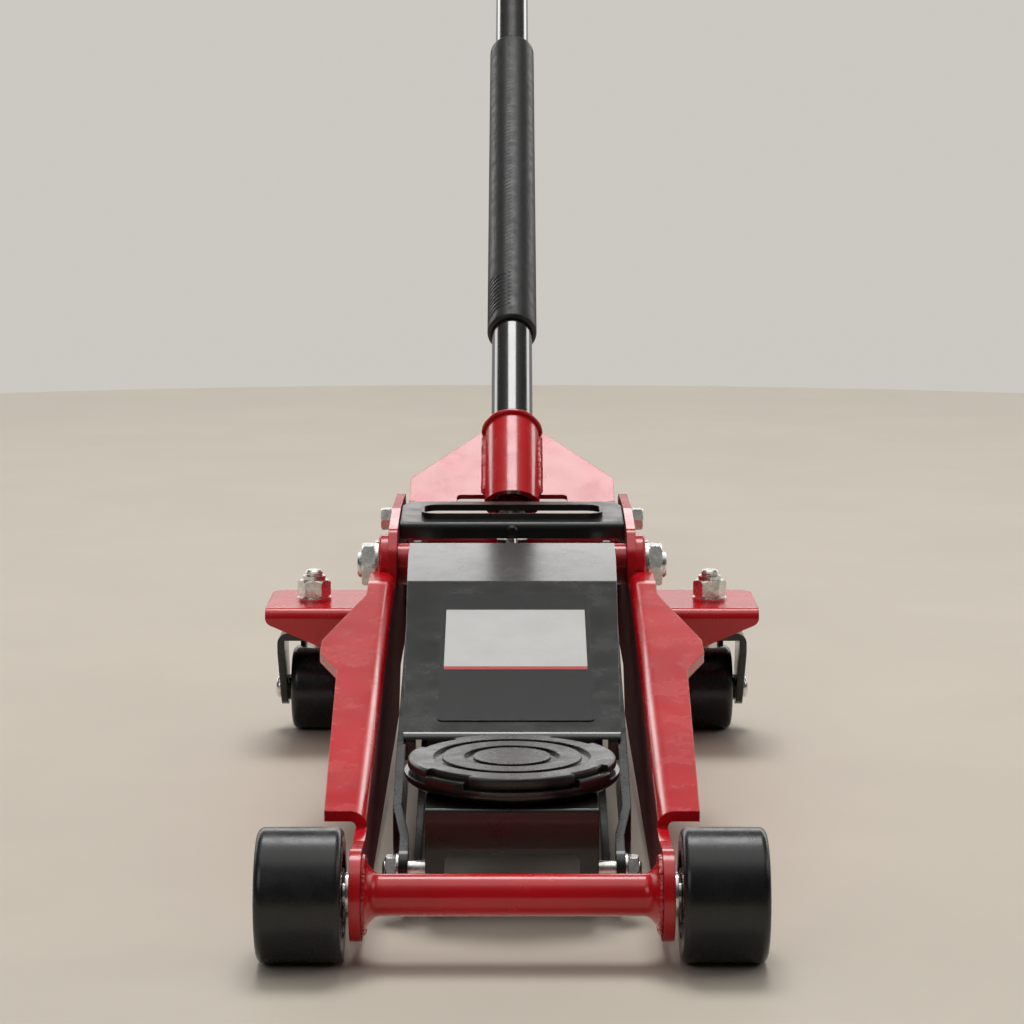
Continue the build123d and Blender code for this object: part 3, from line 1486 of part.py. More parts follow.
yoke_nut_plane = Plane(origin=(yoke_half - yoke_sheet - 6, *yoke), x_dir=(0, 1, 0), z_dir=(1, 0, 0))
with BuildPart() as yoke_washers:
    with BuildSketch(across(yoke_half + seat_gap)):
        with Locations(yoke):
            Circle(yoke_bolt_radius + 5)
            Circle(yoke_bolt_radius + running_fit, mode=Mode.SUBTRACT)
    extrude(amount=frame_inner - yoke_half - seat_gap)
    add(hex_prism(yoke_nut_plane, yoke_bolt_flats, 6 - seat_gap, yoke_bolt_radius + running_fit))
    mirror(about=Plane.YZ)


# Handle tubes, sleeve, grip and the driver cup at the foot
def tube(start, end, outer, inner):
    """Round tube along the handle, from start to end, measured from the yoke pivot."""
    with BuildPart() as pipe:
        with BuildSketch(handle_axis.offset(start)):
            Circle(outer)
            Circle(inner, mode=Mode.SUBTRACT)
        extrude(amount=end - start)
    return pipe.part


lower_tube_bore = lower_tube_radius - lower_tube_wall
with BuildPart() as handle_lower_tube:
    add(tube(socket_bottom + 4, lower_tube_end, lower_tube_radius, lower_tube_bore))

spigot_radius = lower_tube_bore - weld_gap
upper_tube_bore = spigot_radius - lower_tube_wall
with BuildPart() as handle_upper_tube:
    add(tube(lower_tube_end + weld_gap, handle_end - grip_edge, upper_tube_radius, upper_tube_bore))
    add(tube(lower_tube_end - upper_tube_lap, lower_tube_end + 2 * weld_gap, spigot_radius, upper_tube_bore))

with BuildPart() as foam_sleeve:
    with BuildSketch(handle_axis.offset(foam_start)):
        Circle(foam_radius)
    extrude(amount=foam_end - foam_start)
    fillet(foam_sleeve.edges().filter_by(GeomType.CIRCLE), foam_edge)
    with BuildSketch(handle_axis.offset(foam_start)):
        Circle(lower_tube_radius + weld_gap)
    extrude(amount=lower_tube_end - foam_start + 4, mode=Mode.SUBTRACT)
    with BuildSketch(handle_axis.offset(lower_tube_end)):
        Circle(upper_tube_radius + weld_gap)
    extrude(amount=foam_end - lower_tube_end, mode=Mode.SUBTRACT)

with BuildPart() as hand_grip:
    with BuildSketch(handle_axis.offset(grip_start)):
        Circle(grip_radius)
    extrude(amount=handle_end - grip_start)
    fillet(hand_grip.edges().filter_by(GeomType.CIRCLE), grip_edge)
    with BuildSketch(handle_axis.offset(grip_start)):
        Circle(upper_tube_radius + weld_gap)
    extrude(amount=handle_end - grip_start - grip_edge + weld_gap, mode=Mode.SUBTRACT)

with BuildPart() as handle_driver:
    with BuildSketch(handle_axis.offset(1.0)):
        Circle(driver_radius)
    extrude(amount=socket_bottom + 6)
    with BuildSketch(handle_axis.offset(socket_bottom + 6)):
        Circle(lower_tube_bore - weld_gap)
    extrude(amount=16)
    with Locations(yoke_centre):
        Sphere(ball_radius + seat_gap, mode=Mode.SUBTRACT)

# Every finished piece, one file each
pieces = {
    "left_side_plate": left_side_plate,
    "right_side_plate": right_side_plate,
    "front_crossbar": front_crossbar,
    "rear_crossbar": rear_crossbar,
    "front_axle": front_axle,
    "axle_washers": axle_washers,
    "left_front_roller": left_front_roller,
    "right_front_roller": right_front_roller,
    "main_pivot_bolts": main_pivot_bolts,
    "pivot_spacers": pivot_spacers,
    "main_pivot_nuts": main_pivot_nuts,
    "tie_rod_anchor": tie_rod_anchor,
    "left_arm_plate": left_arm_plate,
    "right_arm_plate": right_arm_plate,
    "arm_top_plate": arm_top_plate,
    "horn_plates": horn_plates,
    "horn_pin": horn_pin,
    "horn_roller": horn_roller,
    "saddle_pin": saddle_pin,
    "saddle_pin_nuts": saddle_pin_nuts,
    "saddle_bracket": saddle_bracket,
    "tie_rods": tie_rods,
    "tie_rod_studs": tie_rod_studs,
    "saddle_cup": saddle_cup,
    "saddle_pad": saddle_pad,
    "saddle_clip": saddle_clip,
    "left_caster_arm": left_caster_arm,
    "right_caster_arm": right_caster_arm,
    "caster_kingpins": caster_kingpins,
    "caster_bearings": caster_bearings,
    "caster_nuts": caster_nuts,
    "left_caster_fork": left_caster_fork,
    "right_caster_fork": right_caster_fork,
    "left_caster_axle": left_caster_axle,
    "right_caster_axle": right_caster_axle,
    "left_caster_wheel": left_caster_wheel,
    "right_caster_wheel": right_caster_wheel,
    "reservoir_tube": reservoir_tube,
    "ram_cylinder": ram_cylinder,
    "power_unit_base": power_unit_base,
    "power_unit_bolts": power_unit_bolts,
    "filler_plug": filler_plug,
    "ram": ram,
    "pump_plunger": pump_plunger,
    "pump_spring": pump_spring,
    "valve_spindle": valve_spindle,
    "top_cover": top_cover,
    "cover_screw": cover_screw,
    "yoke_wings": yoke_wings,
    "handle_socket": handle_socket,
    "cam_lugs": cam_lugs,
    "cam_pin": cam_pin,
    "cam_roller": cam_roller,
    "yoke_pivot_bolts": yoke_pivot_bolts,
    "yoke_washers": yoke_washers,
    "handle_lower_tube": handle_lower_tube,
    "handle_upper_tube": handle_upper_tube,
    "foam_sleeve": foam_sleeve,
    "hand_grip": hand_grip,
    "handle_driver": handle_driver,
}
for name, piece in pieces.items():
    save(piece, name)
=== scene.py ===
import random
from math import cos, pi, radians, sin

import bmesh
import bpy
from bpy.props import FloatProperty, FloatVectorProperty, PointerProperty
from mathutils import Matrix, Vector


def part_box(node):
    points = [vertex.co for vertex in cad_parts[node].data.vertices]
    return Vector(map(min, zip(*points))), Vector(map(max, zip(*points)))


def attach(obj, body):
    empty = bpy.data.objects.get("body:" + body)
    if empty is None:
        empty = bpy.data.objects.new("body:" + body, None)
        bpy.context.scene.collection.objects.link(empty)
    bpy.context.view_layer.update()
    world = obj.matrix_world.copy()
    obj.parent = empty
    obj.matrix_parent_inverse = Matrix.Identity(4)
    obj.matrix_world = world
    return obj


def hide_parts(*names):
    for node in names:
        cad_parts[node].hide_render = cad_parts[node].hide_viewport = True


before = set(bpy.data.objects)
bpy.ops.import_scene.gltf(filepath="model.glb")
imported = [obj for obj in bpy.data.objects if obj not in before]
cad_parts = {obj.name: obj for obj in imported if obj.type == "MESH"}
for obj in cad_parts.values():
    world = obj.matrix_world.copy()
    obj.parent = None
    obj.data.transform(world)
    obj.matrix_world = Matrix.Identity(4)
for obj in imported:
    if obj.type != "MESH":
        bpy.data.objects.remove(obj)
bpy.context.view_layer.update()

bl_info = {
    "name": "Floor Jack Finish",
    "version": (1, 0, 0),
    "blender": (4, 5, 0),
    "location": "3D View > Sidebar > Floor Jack",
    "description": "Paints, welds and dresses a low-profile floor jack and sets its studio",
    "category": "Object",
}

MM = 0.001

# Places on the jack, in metres, taken from the frame
AXLE = sum(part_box("front_axle"), Vector()) / 2
YOKE = sum(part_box("yoke_pivot_bolts"), Vector()) / 2
PIVOT = sum(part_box("main_pivot_nuts"), Vector()) / 2
HANDLE_TILT = radians(32)
HANDLE_LINE = Vector((0, cos(HANDLE_TILT), sin(HANDLE_TILT)))
HANDLE_FACE = Vector((0, -sin(HANDLE_TILT), cos(HANDLE_TILT)))
ACROSS = Vector((1, 0, 0))
UP = Vector((0, 0, 1))
BACK = Vector((0, 1, 0))
YOKE_CENTRE = Vector((0, YOKE.y, YOKE.z))

# The arm's sloping top plate, from its front lip to its crease
PLATE_START = 192 * MM
PLATE_LOW = Vector((0, AXLE.y + PLATE_START, 78 * MM))
PLATE_HIGH = Vector((0, AXLE.y + 396 * MM, 135 * MM))


class JackFinish(bpy.types.PropertyGroup):
    """Colours and surface values of the jack."""

    red: FloatVectorProperty(
        name="Red enamel", description="Colour of the frame, yoke and crossbars",
        subtype="COLOR", size=3, min=0, max=1, default=(0.61, 0.0025, 0.010),
    )
    black: FloatVectorProperty(
        name="Black enamel", description="Colour of the lift arm, saddle and top cover",
        subtype="COLOR", size=3, min=0, max=1, default=(0.009, 0.009, 0.009),
    )
    zinc: FloatVectorProperty(
        name="Zinc plate", description="Colour of the nuts, bolts and washers",
        subtype="COLOR", size=3, min=0, max=1, default=(0.88, 0.87, 0.85),
    )
    foam: FloatVectorProperty(
        name="Foam", description="Colour of the sleeve on the handle",
        subtype="COLOR", size=3, min=0, max=1, default=(0.011, 0.011, 0.0115),
    )
    edge_radius: FloatProperty(
        name="Edge radius", description="Rounding of painted edges",
        subtype="DISTANCE", unit="LENGTH", min=0, max=0.003, default=0.0009,
    )


class JackSizes(bpy.types.PropertyGroup):
    """Sizes of the pieces that dress the jack."""

    bead_radius: FloatProperty(
        name="Weld bead", description="Radius of a weld bead",
        subtype="DISTANCE", unit="LENGTH", min=0.001, max=0.006, default=0.0024,
    )
    label_width: FloatProperty(
        name="Label width", description="Width of the blank label on the arm's top plate",
        subtype="DISTANCE", unit="LENGTH", min=0.02, max=0.12, default=0.092,
    )
    label_length: FloatProperty(
        name="Label length", description="Length of the blank label along the arm",
        subtype="DISTANCE", unit="LENGTH", min=0.02, max=0.2, default=0.169,
    )
    sleeve_rib_pitch: FloatProperty(
        name="Sleeve rib pitch", description="Distance between two ribs of the foam sleeve",
        subtype="DISTANCE", unit="LENGTH", min=0.002, max=0.01, default=0.0052,
    )


class JackStudio(bpy.types.PropertyGroup):
    """Floor and light of the stage."""

    floor: FloatVectorProperty(
        name="Floor", description="Colour of the plain pale floor",
        subtype="COLOR", size=3, min=0, max=1, default=(0.57, 0.515, 0.435),
    )
    floor_radius: FloatProperty(
        name="Floor radius", description="Radius of the round floor, whose far edge is the horizon",
        subtype="DISTANCE", unit="LENGTH", min=1.5, max=20, default=2.387,
    )
    backdrop: FloatVectorProperty(
        name="Backdrop", description="Colour behind the jack",
        subtype="COLOR", size=3, min=0, max=1, default=(0.60, 0.58, 0.54),
    )
    overhead: FloatProperty(
        name="Overhead light", description="Power of the large overhead light",
        unit="POWER", min=0, max=500, default=25,
    )
    rear: FloatProperty(
        name="Rear light", description="Strength of the light from behind, which throws the shadow forward",
        subtype="UNSIGNED", min=0, max=20, default=1.2,
    )
    front: FloatProperty(
        name="Front light", description="Power of the soft light beside the camera",
        unit="POWER", min=0, max=500, default=10,
    )


# Shader helpers and the node groups that the materials share
def add_node(tree, kind, settings=None, inputs=None):
    """A node with its settings, and with each input given a value or a link."""
    node = tree.nodes.new(kind)
    for key, value in (settings or {}).items():
        setattr(node, key, value)
    for key, value in (inputs or {}).items():
        if isinstance(value, bpy.types.NodeSocket):
            tree.links.new(value, node.inputs[key])
        else:
            node.inputs[key].default_value = value
    return node


def effect(name, inputs, output, output_kind):
    """An empty node group with float inputs and one output; returns it with its two end nodes."""
    tree = bpy.data.node_groups.new(name, "ShaderNodeTree")
    for label, value in inputs.items():
        socket = tree.interface.new_socket(label, in_out="INPUT", socket_type="NodeSocketFloat")
        socket.default_value = value
    tree.interface.new_socket(output, in_out="OUTPUT", socket_type=output_kind)
    return tree, tree.nodes.new("NodeGroupInput"), tree.nodes.new("NodeGroupOutput")


def build_soft_surface():
    """Rounded edges with a fine grain on top, such as the orange peel of sprayed paint."""
    start = {"Edge Radius": 0.0009, "Grain Scale": 400.0, "Grain Height": 0.00002}
    tree, given, result = effect("soft_surface", start, "Normal", "NodeSocketVector")
    place = add_node(tree, "ShaderNodeTexCoord")
    edge = add_node(tree, "ShaderNodeBevel", {"samples": 4}, {"Radius": given.outputs["Edge Radius"]})
    grain = add_node(
        tree, "ShaderNodeTexNoise", None,
        {"Vector": place.outputs["Object"], "Scale": given.outputs["Grain Scale"], "Detail": 3.0},
    )
    bump = add_node(
        tree, "ShaderNodeBump", None,
        {"Height": grain.outputs["Fac"], "Distance": given.outputs["Grain Height"],
         "Normal": edge.outputs["Normal"]},
    )
    tree.links.new(bump.outputs["Normal"], result.inputs["Normal"])
    return tree


def build_clouding():
    """Soft cloudy mask from 0 to 1."""
    tree, given, result = effect("clouding", {"Scale": 20.0, "Low": 0.35, "High": 0.7}, "Mask",
                                 "NodeSocketFloat")
    place = add_node(tree, "ShaderNodeTexCoord")
    cloud = add_node(
        tree, "ShaderNodeTexNoise", None,
        {"Vector": place.outputs["Object"], "Scale": given.outputs["Scale"], "Detail": 5.0,
         "Roughness": 0.6},
    )
    spread = add_node(
        tree, "ShaderNodeMapRange", {"interpolation_type": "SMOOTHSTEP"},
        {"Value": cloud.outputs["Fac"], "From Min": given.outputs["Low"],
         "From Max": given.outputs["High"]},
    )
    tree.links.new(spread.outputs["Result"], result.inputs["Mask"])
    return tree


def build_edge_wear():
    """Mask of worn corners: strong where the rounded normal leaves the true one."""
    tree, given, result = effect("edge_wear", {"Edge Radius": 0.001, "Amount": 1.0, "Breakup": 300.0},
                                 "Mask", "NodeSocketFloat")
    place = add_node(tree, "ShaderNodeTexCoord")
    true_normal = add_node(tree, "ShaderNodeNewGeometry")
    edge = add_node(tree, "ShaderNodeBevel", {"samples": 4}, {"Radius": given.outputs["Edge Radius"]})
    same = add_node(
        tree, "ShaderNodeVectorMath", {"operation": "DOT_PRODUCT"},
        {0: edge.outputs["Normal"], 1: true_normal.outputs["Normal"]},
    )
    turned = add_node(
        tree, "ShaderNodeMapRange", None,
        {"Value": same.outputs["Value"], "From Min": 0.97, "From Max": 0.72},
    )
    speck = add_node(
        tree, "ShaderNodeTexNoise", None,
        {"Vector": place.outputs["Object"], "Scale": given.outputs["Breakup"], "Detail": 4.0},
    )
    bare = add_node(
        tree, "ShaderNodeMapRange", None,
        {"Value": speck.outputs["Fac"], "From Min": 0.52, "From Max": 0.66},
    )
    both = add_node(
        tree, "ShaderNodeMath", {"operation": "MULTIPLY"},
        {0: turned.outputs["Result"], 1: bare.outputs["Result"]},
    )
    scaled = add_node(
        tree, "ShaderNodeMath", {"operation": "MULTIPLY", "use_clamp": True},
        {0: both.outputs["Value"], 1: given.outputs["Amount"]},
    )
    tree.links.new(scaled.outputs["Value"], result.inputs["Mask"])
    return tree


def build_settled_dust():
    """Mask of fine dust on faces that look up."""
    tree, given, result = effect("settled_dust", {"Amount": 0.3, "Scale": 160.0}, "Mask",
                                 "NodeSocketFloat")
    place = add_node(tree, "ShaderNodeTexCoord")
    face = add_node(tree, "ShaderNodeNewGeometry")
    split = add_node(tree, "ShaderNodeSeparateXYZ", None, {"Vector": face.outputs["Normal"]})
    upward = add_node(
        tree, "ShaderNodeMapRange", None,
        {"Value": split.outputs["Z"], "From Min": 0.35, "From Max": 1.0},
    )
    motes = add_node(
        tree, "ShaderNodeTexNoise", None,
        {"Vector": place.outputs["Object"], "Scale": given.outputs["Scale"], "Detail": 8.0,
         "Roughness": 0.75},
    )
    patch = add_node(
        tree, "ShaderNodeMapRange", None,
        {"Value": motes.outputs["Fac"], "From Min": 0.46, "From Max": 0.74},
    )
    both = add_node(
        tree, "ShaderNodeMath", {"operation": "MULTIPLY"},
        {0: upward.outputs["Result"], 1: patch.outputs["Result"]},
    )
    scaled = add_node(
        tree, "ShaderNodeMath", {"operation": "MULTIPLY", "use_clamp": True},
        {0: both.outputs["Value"], 1: given.outputs["Amount"]},
    )
    tree.links.new(scaled.outputs["Value"], result.inputs["Mask"])
    return tree


def build_turning_lines():
    """Height of fine lathe lines round the X axis."""
    tree, given, result = effect("turning_lines", {"Lines": 900.0}, "Height", "NodeSocketFloat")
    place = add_node(tree, "ShaderNodeTexCoord")
    split = add_node(tree, "ShaderNodeSeparateXYZ", None, {"Vector": place.outputs["Object"]})
    lines = add_node(
        tree, "ShaderNodeTexNoise", {"noise_dimensions": "1D"},
        {"W": split.outputs["X"], "Scale": given.outputs["Lines"], "Detail": 3.0},
    )
    tree.links.new(lines.outputs["Fac"], result.inputs["Height"])
    return tree


def build_inner_face_shade():
    """Mask of upright faces that lie within a half width of the middle plane: the inner faces of the side
    plates, where shade is painted.
    """
    tree, given, result = effect("inner_face_shade", {"Half Width": 0.078}, "Mask", "NodeSocketFloat")
    place = add_node(tree, "ShaderNodeTexCoord")
    split = add_node(tree, "ShaderNodeSeparateXYZ", None, {"Vector": place.outputs["Object"]})
    distance = add_node(tree, "ShaderNodeMath", {"operation": "ABSOLUTE"}, {0: split.outputs["X"]})
    within = add_node(
        tree, "ShaderNodeMath", {"operation": "LESS_THAN"},
        {0: distance.outputs["Value"], 1: given.outputs["Half Width"]},
    )
    face = add_node(tree, "ShaderNodeSeparateXYZ", None, {"Vector": place.outputs["Normal"]})
    sideways = add_node(tree, "ShaderNodeMath", {"operation": "ABSOLUTE"}, {0: face.outputs["X"]})
    upright = add_node(
        tree, "ShaderNodeMapRange", None,
        {"Value": sideways.outputs["Value"], "From Min": 0.9, "From Max": 0.98},
    )
    both = add_node(
        tree, "ShaderNodeMath", {"operation": "MULTIPLY"},
        {0: within.outputs["Value"], 1: upright.outputs["Result"]},
    )
    tree.links.new(both.outputs["Value"], result.inputs["Mask"])
    return tree


GROUPS = {}


def shared(name):
    """The node group of that name, built the first time it is asked for."""
    makers = {
        "soft_surface": build_soft_surface, "clouding": build_clouding, "edge_wear": build_edge_wear,
        "settled_dust": build_settled_dust, "turning_lines": build_turning_lines,
        "inner_face_shade": build_inner_face_shade,
    }
    if name not in GROUPS:
        GROUPS[name] = makers[name]()
    return GROUPS[name]


def use(tree, name, **values):
    """One use of a shared group, with its inputs named by words joined by underscores."""
    node = tree.nodes.new("ShaderNodeGroup")
    node.node_tree = shared(name)
    for key, value in values.items():
        node.inputs[key.replace("_", " ").title()].default_value = value
    return node


def blend_colour(tree, mask, first, second):
    """Colour that goes from first to second as the mask goes from 0 to 1."""
    mix = tree.nodes.new("ShaderNodeMix")
    mix.data_type = "RGBA"
    tree.links.new(mask, mix.inputs["Factor"])
    for name, value in (("A", first), ("B", second)):
        socket = next(s for s in mix.inputs if s.name == name and s.type == "RGBA")
        if isinstance(value, bpy.types.NodeSocket):
            tree.links.new(value, socket)
        else:
            socket.default_value = (*value, 1.0)
    return next(s for s in mix.outputs if s.type == "RGBA")


def blend_value(tree, mask, first, second):
    """Number that goes from first to second as the mask goes from 0 to 1."""
    spread = add_node(tree, "ShaderNodeMapRange", None,
                      {"Value": mask, "To Min": first, "To Max": second})
    return spread.outputs["Result"]


def tint(colour, factor):
    """The same colour, lighter or darker."""
    return tuple(min(1.0, part * factor) for part in colour)


def principled(tree):
    """The Principled shader of a material's node tree."""
    return next(node for node in tree.nodes if node.type == "BSDF_PRINCIPLED")


def new_material(name):
    """A material with its node tree and Principled shader."""
    material = bpy.data.materials.new(name)
    material.use_nodes = True
    return material, material.node_tree, principled(material.node_tree)


DUST = (0.42, 0.39, 0.34)
RUBBER_DUST = (0.36, 0.34, 0.30)
FILM_DUST = (0.30, 0.28, 0.25)


def enamel(name, colour, roughness, coat, peel_scale, peel_height, edge, wear, worn, dust,
           coat_roughness=0.06):
    """Sprayed enamel: cloudy colour, orange peel, soft edges, chipped corners and a little dust."""
    material, tree, shader = new_material(name)
    cloud = use(tree, "clouding", scale=14.0, low=0.3, high=0.75)
    chips = use(tree, "edge_wear", edge_radius=edge * 1.4, amount=wear, breakup=420.0)
    motes = use(tree, "settled_dust", amount=dust, scale=190.0)
    base = blend_colour(tree, cloud.outputs["Mask"], tint(colour, 0.86), tint(colour, 1.08))
    chipped = blend_colour(tree, chips.outputs["Mask"], base, worn)
    dusty = blend_colour(tree, motes.outputs["Mask"], chipped, DUST)
    smears = use(tree, "clouding", scale=45.0, low=0.35, high=0.7)
    polish = blend_value(tree, smears.outputs["Mask"], roughness * 0.82, roughness * 1.25)
    dull = add_node(tree, "ShaderNodeMath", {"operation": "MULTIPLY_ADD"},
                    {0: motes.outputs["Mask"], 1: 0.5, 2: polish})
    normal = use(tree, "soft_surface", edge_radius=edge, grain_scale=peel_scale,
                 grain_height=peel_height)
    tree.links.new(dusty, shader.inputs["Base Color"])
    tree.links.new(dull.outputs["Value"], shader.inputs["Roughness"])
    tree.links.new(normal.outputs["Normal"], shader.inputs["Normal"])
    shader.inputs["Coat Weight"].default_value = coat
    shader.inputs["Coat Roughness"].default_value = coat_roughness
    return material


def plate_enamel_shaded_inside(name, colour, roughness, coat, edge):
    """Enamel of a side plate: as on the frame outside; on the inner face the enamel is rougher and
    uncoated, and its colour is darkened as painted shade between the plate and the arm.
    """
    worn = tint(colour, 0.35)
    material = enamel(name, colour, roughness, coat, 260.0, 0.00007, edge, 0.3, worn, 0.03)
    tree = material.node_tree
    shader = principled(tree)
    inside = use(tree, "inner_face_shade", half_width=0.0779)
    mask = inside.outputs["Mask"]
    outer_colour = shader.inputs["Base Color"].links[0].from_socket
    outer_polish = shader.inputs["Roughness"].links[0].from_socket
    # painted shade: the inner face's red is darkened to about a fifth, standing in for the shade between
    # plate and arm
    tone = blend_colour(tree, mask, outer_colour, tint(colour, 0.22))
    dull = add_node(tree, "ShaderNodeMath", {"operation": "MULTIPLY_ADD"},
                    {0: mask, 1: 0.6, 2: outer_polish})
    tree.links.new(tone, shader.inputs["Base Color"])
    tree.links.new(dull.outputs["Value"], shader.inputs["Roughness"])
    tree.links.new(blend_value(tree, mask, coat, 0.0), shader.inputs["Coat Weight"])
    return material


def add_turning(tree, normal, count, height):
    """The normal with fine lathe lines of that height on top."""
    turned = use(tree, "turning_lines", lines=count)
    bump = add_node(tree, "ShaderNodeBump", None,
                    {"Height": turned.outputs["Height"], "Distance": height, "Normal": normal})
    return bump.outputs["Normal"]


def plated(name, colour, roughness, edge, lines=0.0):
    """Plated or turned metal with faint staining and fine scratches."""
    material, tree, shader = new_material(name)
    stain = use(tree, "clouding", scale=90.0, low=0.3, high=0.8)
    tone = blend_colour(tree, stain.outputs["Mask"], colour, tint(colour, 0.74))
    smears = use(tree, "clouding", scale=260.0, low=0.3, high=0.75)
    polish = blend_value(tree, smears.outputs["Mask"], roughness * 0.7, roughness * 1.5)
    normal = use(tree, "soft_surface", edge_radius=edge, grain_scale=900.0, grain_height=0.000012)
    shader.inputs["Metallic"].default_value = 1.0
    tree.links.new(tone, shader.inputs["Base Color"])
    tree.links.new(polish, shader.inputs["Roughness"])
    last = normal.outputs["Normal"]
    if lines > 0:
        last = add_turning(tree, last, 1400.0, lines)
    tree.links.new(last, shader.inputs["Normal"])
    return material


def moulded(name, colour, roughness, grain_scale, grain_height, edge, dust, lines=0.0):
    """Moulded rubber, nylon or foam, with an even grain and a little dust."""
    material, tree, shader = new_material(name)
    cloud = use(tree, "clouding", scale=30.0, low=0.3, high=0.75)
    motes = use(tree, "settled_dust", amount=dust, scale=260.0)
    tone = blend_colour(tree, cloud.outputs["Mask"], tint(colour, 0.8), tint(colour, 1.25))
    dusty = blend_colour(tree, motes.outputs["Mask"], tone, RUBBER_DUST)
    smears = use(tree, "clouding", scale=120.0, low=0.3, high=0.75)
    polish = blend_value(tree, smears.outputs["Mask"], roughness * 0.85, roughness * 1.2)
    normal = use(tree, "soft_surface", edge_radius=edge, grain_scale=grain_scale,
                 grain_height=grain_height)
    last = normal.outputs["Normal"]
    if lines > 0:
        last = add_turning(tree, last, 700.0, lines)
    tree.links.new(dusty, shader.inputs["Base Color"])
    tree.links.new(polish, shader.inputs["Roughness"])
    tree.links.new(last, shader.inputs["Normal"])
    return material


FINISHES = {}


def finish(name):
    """The finish of that name, made from the scene's settings the first time it is asked for."""
    if name in FINISHES:
        return FINISHES[name]
    look = bpy.context.scene.jack_finish
    red, black, zinc, foam = (tuple(c) for c in (look.red, look.black, look.zinc, look.foam))
    edge = look.edge_radius
    recipes = {
        "red_enamel": lambda: enamel("red_enamel", red, 0.24, 0.40, 260.0, 0.00007, edge, 0.3,
                                     tint(red, 0.35), 0.03),
        "red_plate_shaded_inside": lambda: plate_enamel_shaded_inside("red_plate_shaded_inside", red, 0.24, 0.40, edge),
        "weld_enamel": lambda: enamel("weld_enamel", tint(red, 0.9), 0.26, 0.7, 700.0, 0.00012,
                                      edge * 0.5, 0.2, tint(red, 0.3), 0.05),
        "black_satin": lambda: enamel("black_satin", black, 0.30, 0.3, 420.0, 0.00004, edge, 0.35,
                                      (0.06, 0.056, 0.052), 0.03),
        "black_gloss": lambda: enamel("black_gloss", tint(black, 0.8), 0.19, 0.9, 300.0, 0.00002,
                                      edge, 0.2, (0.06, 0.06, 0.06), 0.02),
        "arm_black": lambda: enamel("arm_black", black, 0.24, 1.0, 300.0, 0.00002, edge, 0.2,
                                    (0.06, 0.06, 0.06), 0.02, 0.15),
        "black_matt": lambda: enamel("black_matt", black, 0.36, 0.4, 420.0, 0.00004, edge, 0.3,
                                     (0.06, 0.056, 0.052), 0.03, 0.36),
        "black_cast": lambda: enamel("black_cast", black, 0.32, 0.5, 240.0, 0.00018, edge * 1.6, 0.3,
                                     (0.06, 0.056, 0.052), 0.03),
        "zinc": lambda: plated("zinc", zinc, 0.24, 0.0005),
        "turned_steel": lambda: plated("turned_steel", (0.46, 0.45, 0.43), 0.3, 0.0005, 0.00001),
        "polished_rod": lambda: plated("polished_rod", (0.78, 0.78, 0.79), 0.08, 0.0004),
        "roller_nylon": lambda: moulded("roller_nylon", (0.010, 0.011, 0.012), 0.27, 500.0, 0.00002,
                                        0.001, 0.03, 0.00002),
        "pad_rubber": lambda: moulded("pad_rubber", (0.013, 0.013, 0.013), 0.30, 330.0, 0.00012,
                                      0.0012, 0.05),
        "sleeve_foam": lambda: moulded("sleeve_foam", foam, 0.45, 1100.0, 0.00010, 0.0006, 0.05),
        "grip_rubber": lambda: moulded("grip_rubber", (0.022, 0.022, 0.023), 0.55, 600.0, 0.0001,
                                       0.0008, 0.08),
    }
    if name not in recipes:
        raise KeyError(f"there is no finish named {name}")
    FINISHES[name] = recipes[name]()
    return FINISHES[name]


def paint(finish_name, *nodes):
    """Gives CAD nodes a finish."""
    for name in nodes:
        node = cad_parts[name]
        node.data.materials.clear()
        node.data.materials.append(finish(finish_name))


def shade(obj, angle=35):
    """Smooth shading with sharp edges kept above that angle, in degrees."""
    for face in obj.data.polygons:
        face.use_smooth = True
    obj.data.set_sharp_from_angle(angle=radians(angle))


def piece(name, mesh_tool, finish_name, body):
    """A finished piece from a bmesh, riding on a body."""
    mesh = bpy.data.meshes.new(name)
    mesh_tool.to_mesh(mesh)
    mesh_tool.free()
    obj = bpy.data.objects.new(name, mesh)
    bpy.context.scene.collection.objects.link(obj)
    if finish_name:
        mesh.materials.append(finish(finish_name))
    shade(obj)
    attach(obj, body)
    return obj


def ring_of_points(centre, first, second, radius, count):
    """Points of a circle in the plane of two directions."""
    turns = (2 * pi * i / count for i in range(count))
    return [centre + radius * (cos(turn) * first + sin(turn) * second) for turn in turns]


def skin_rings(tool, rings, closed, capped):
    """Faces between neighbouring rings of vertices, and over the two ends."""
    pairs = list(zip(rings, rings[1:]))
    if closed:
        pairs.append((rings[-1], rings[0]))
    for near, far in pairs:
        for i, vertex in enumerate(near):
            j = (i + 1) % len(near)
            tool.faces.new((vertex, near[j], far[j], far[i]))
    if capped and not closed:
        tool.faces.new(reversed(rings[0]))
        tool.faces.new(rings[-1])


def add_bead(tool, points, radius, dice, closed=False, sides=10):
    """A rippled weld bead along points spaced about a third of a ripple apart."""
    rings = []
    last = len(points) - 1
    for i, point in enumerate(points):
        before = points[i - 1] if (i or closed) else point
        after = points[(i + 1) % len(points)] if (i < last or closed) else point
        along = (after - before).normalized()
        first = along.orthogonal().normalized()
        second = along.cross(first)
        ripple = 0.92 + 0.08 * cos(2 * pi * i / 3.6) + dice.uniform(-0.04, 0.04)
        taper = 1.0 if closed else min(1.0, 0.35 + 0.22 * min(i, last - i))
        size = radius * ripple * taper
        shift = Vector((dice.uniform(-1, 1), dice.uniform(-1, 1), dice.uniform(-1, 1))) * radius * 0.06
        circle = ring_of_points(point + shift, first, second, size, sides)
        rings.append([tool.verts.new(p) for p in circle])
    skin_rings(tool, rings, closed, True)


def straight(start, end, step):
    """Evenly spaced points from start to end."""
    count = max(2, round((end - start).length / step))
    return [start.lerp(end, i / count) for i in range(count + 1)]


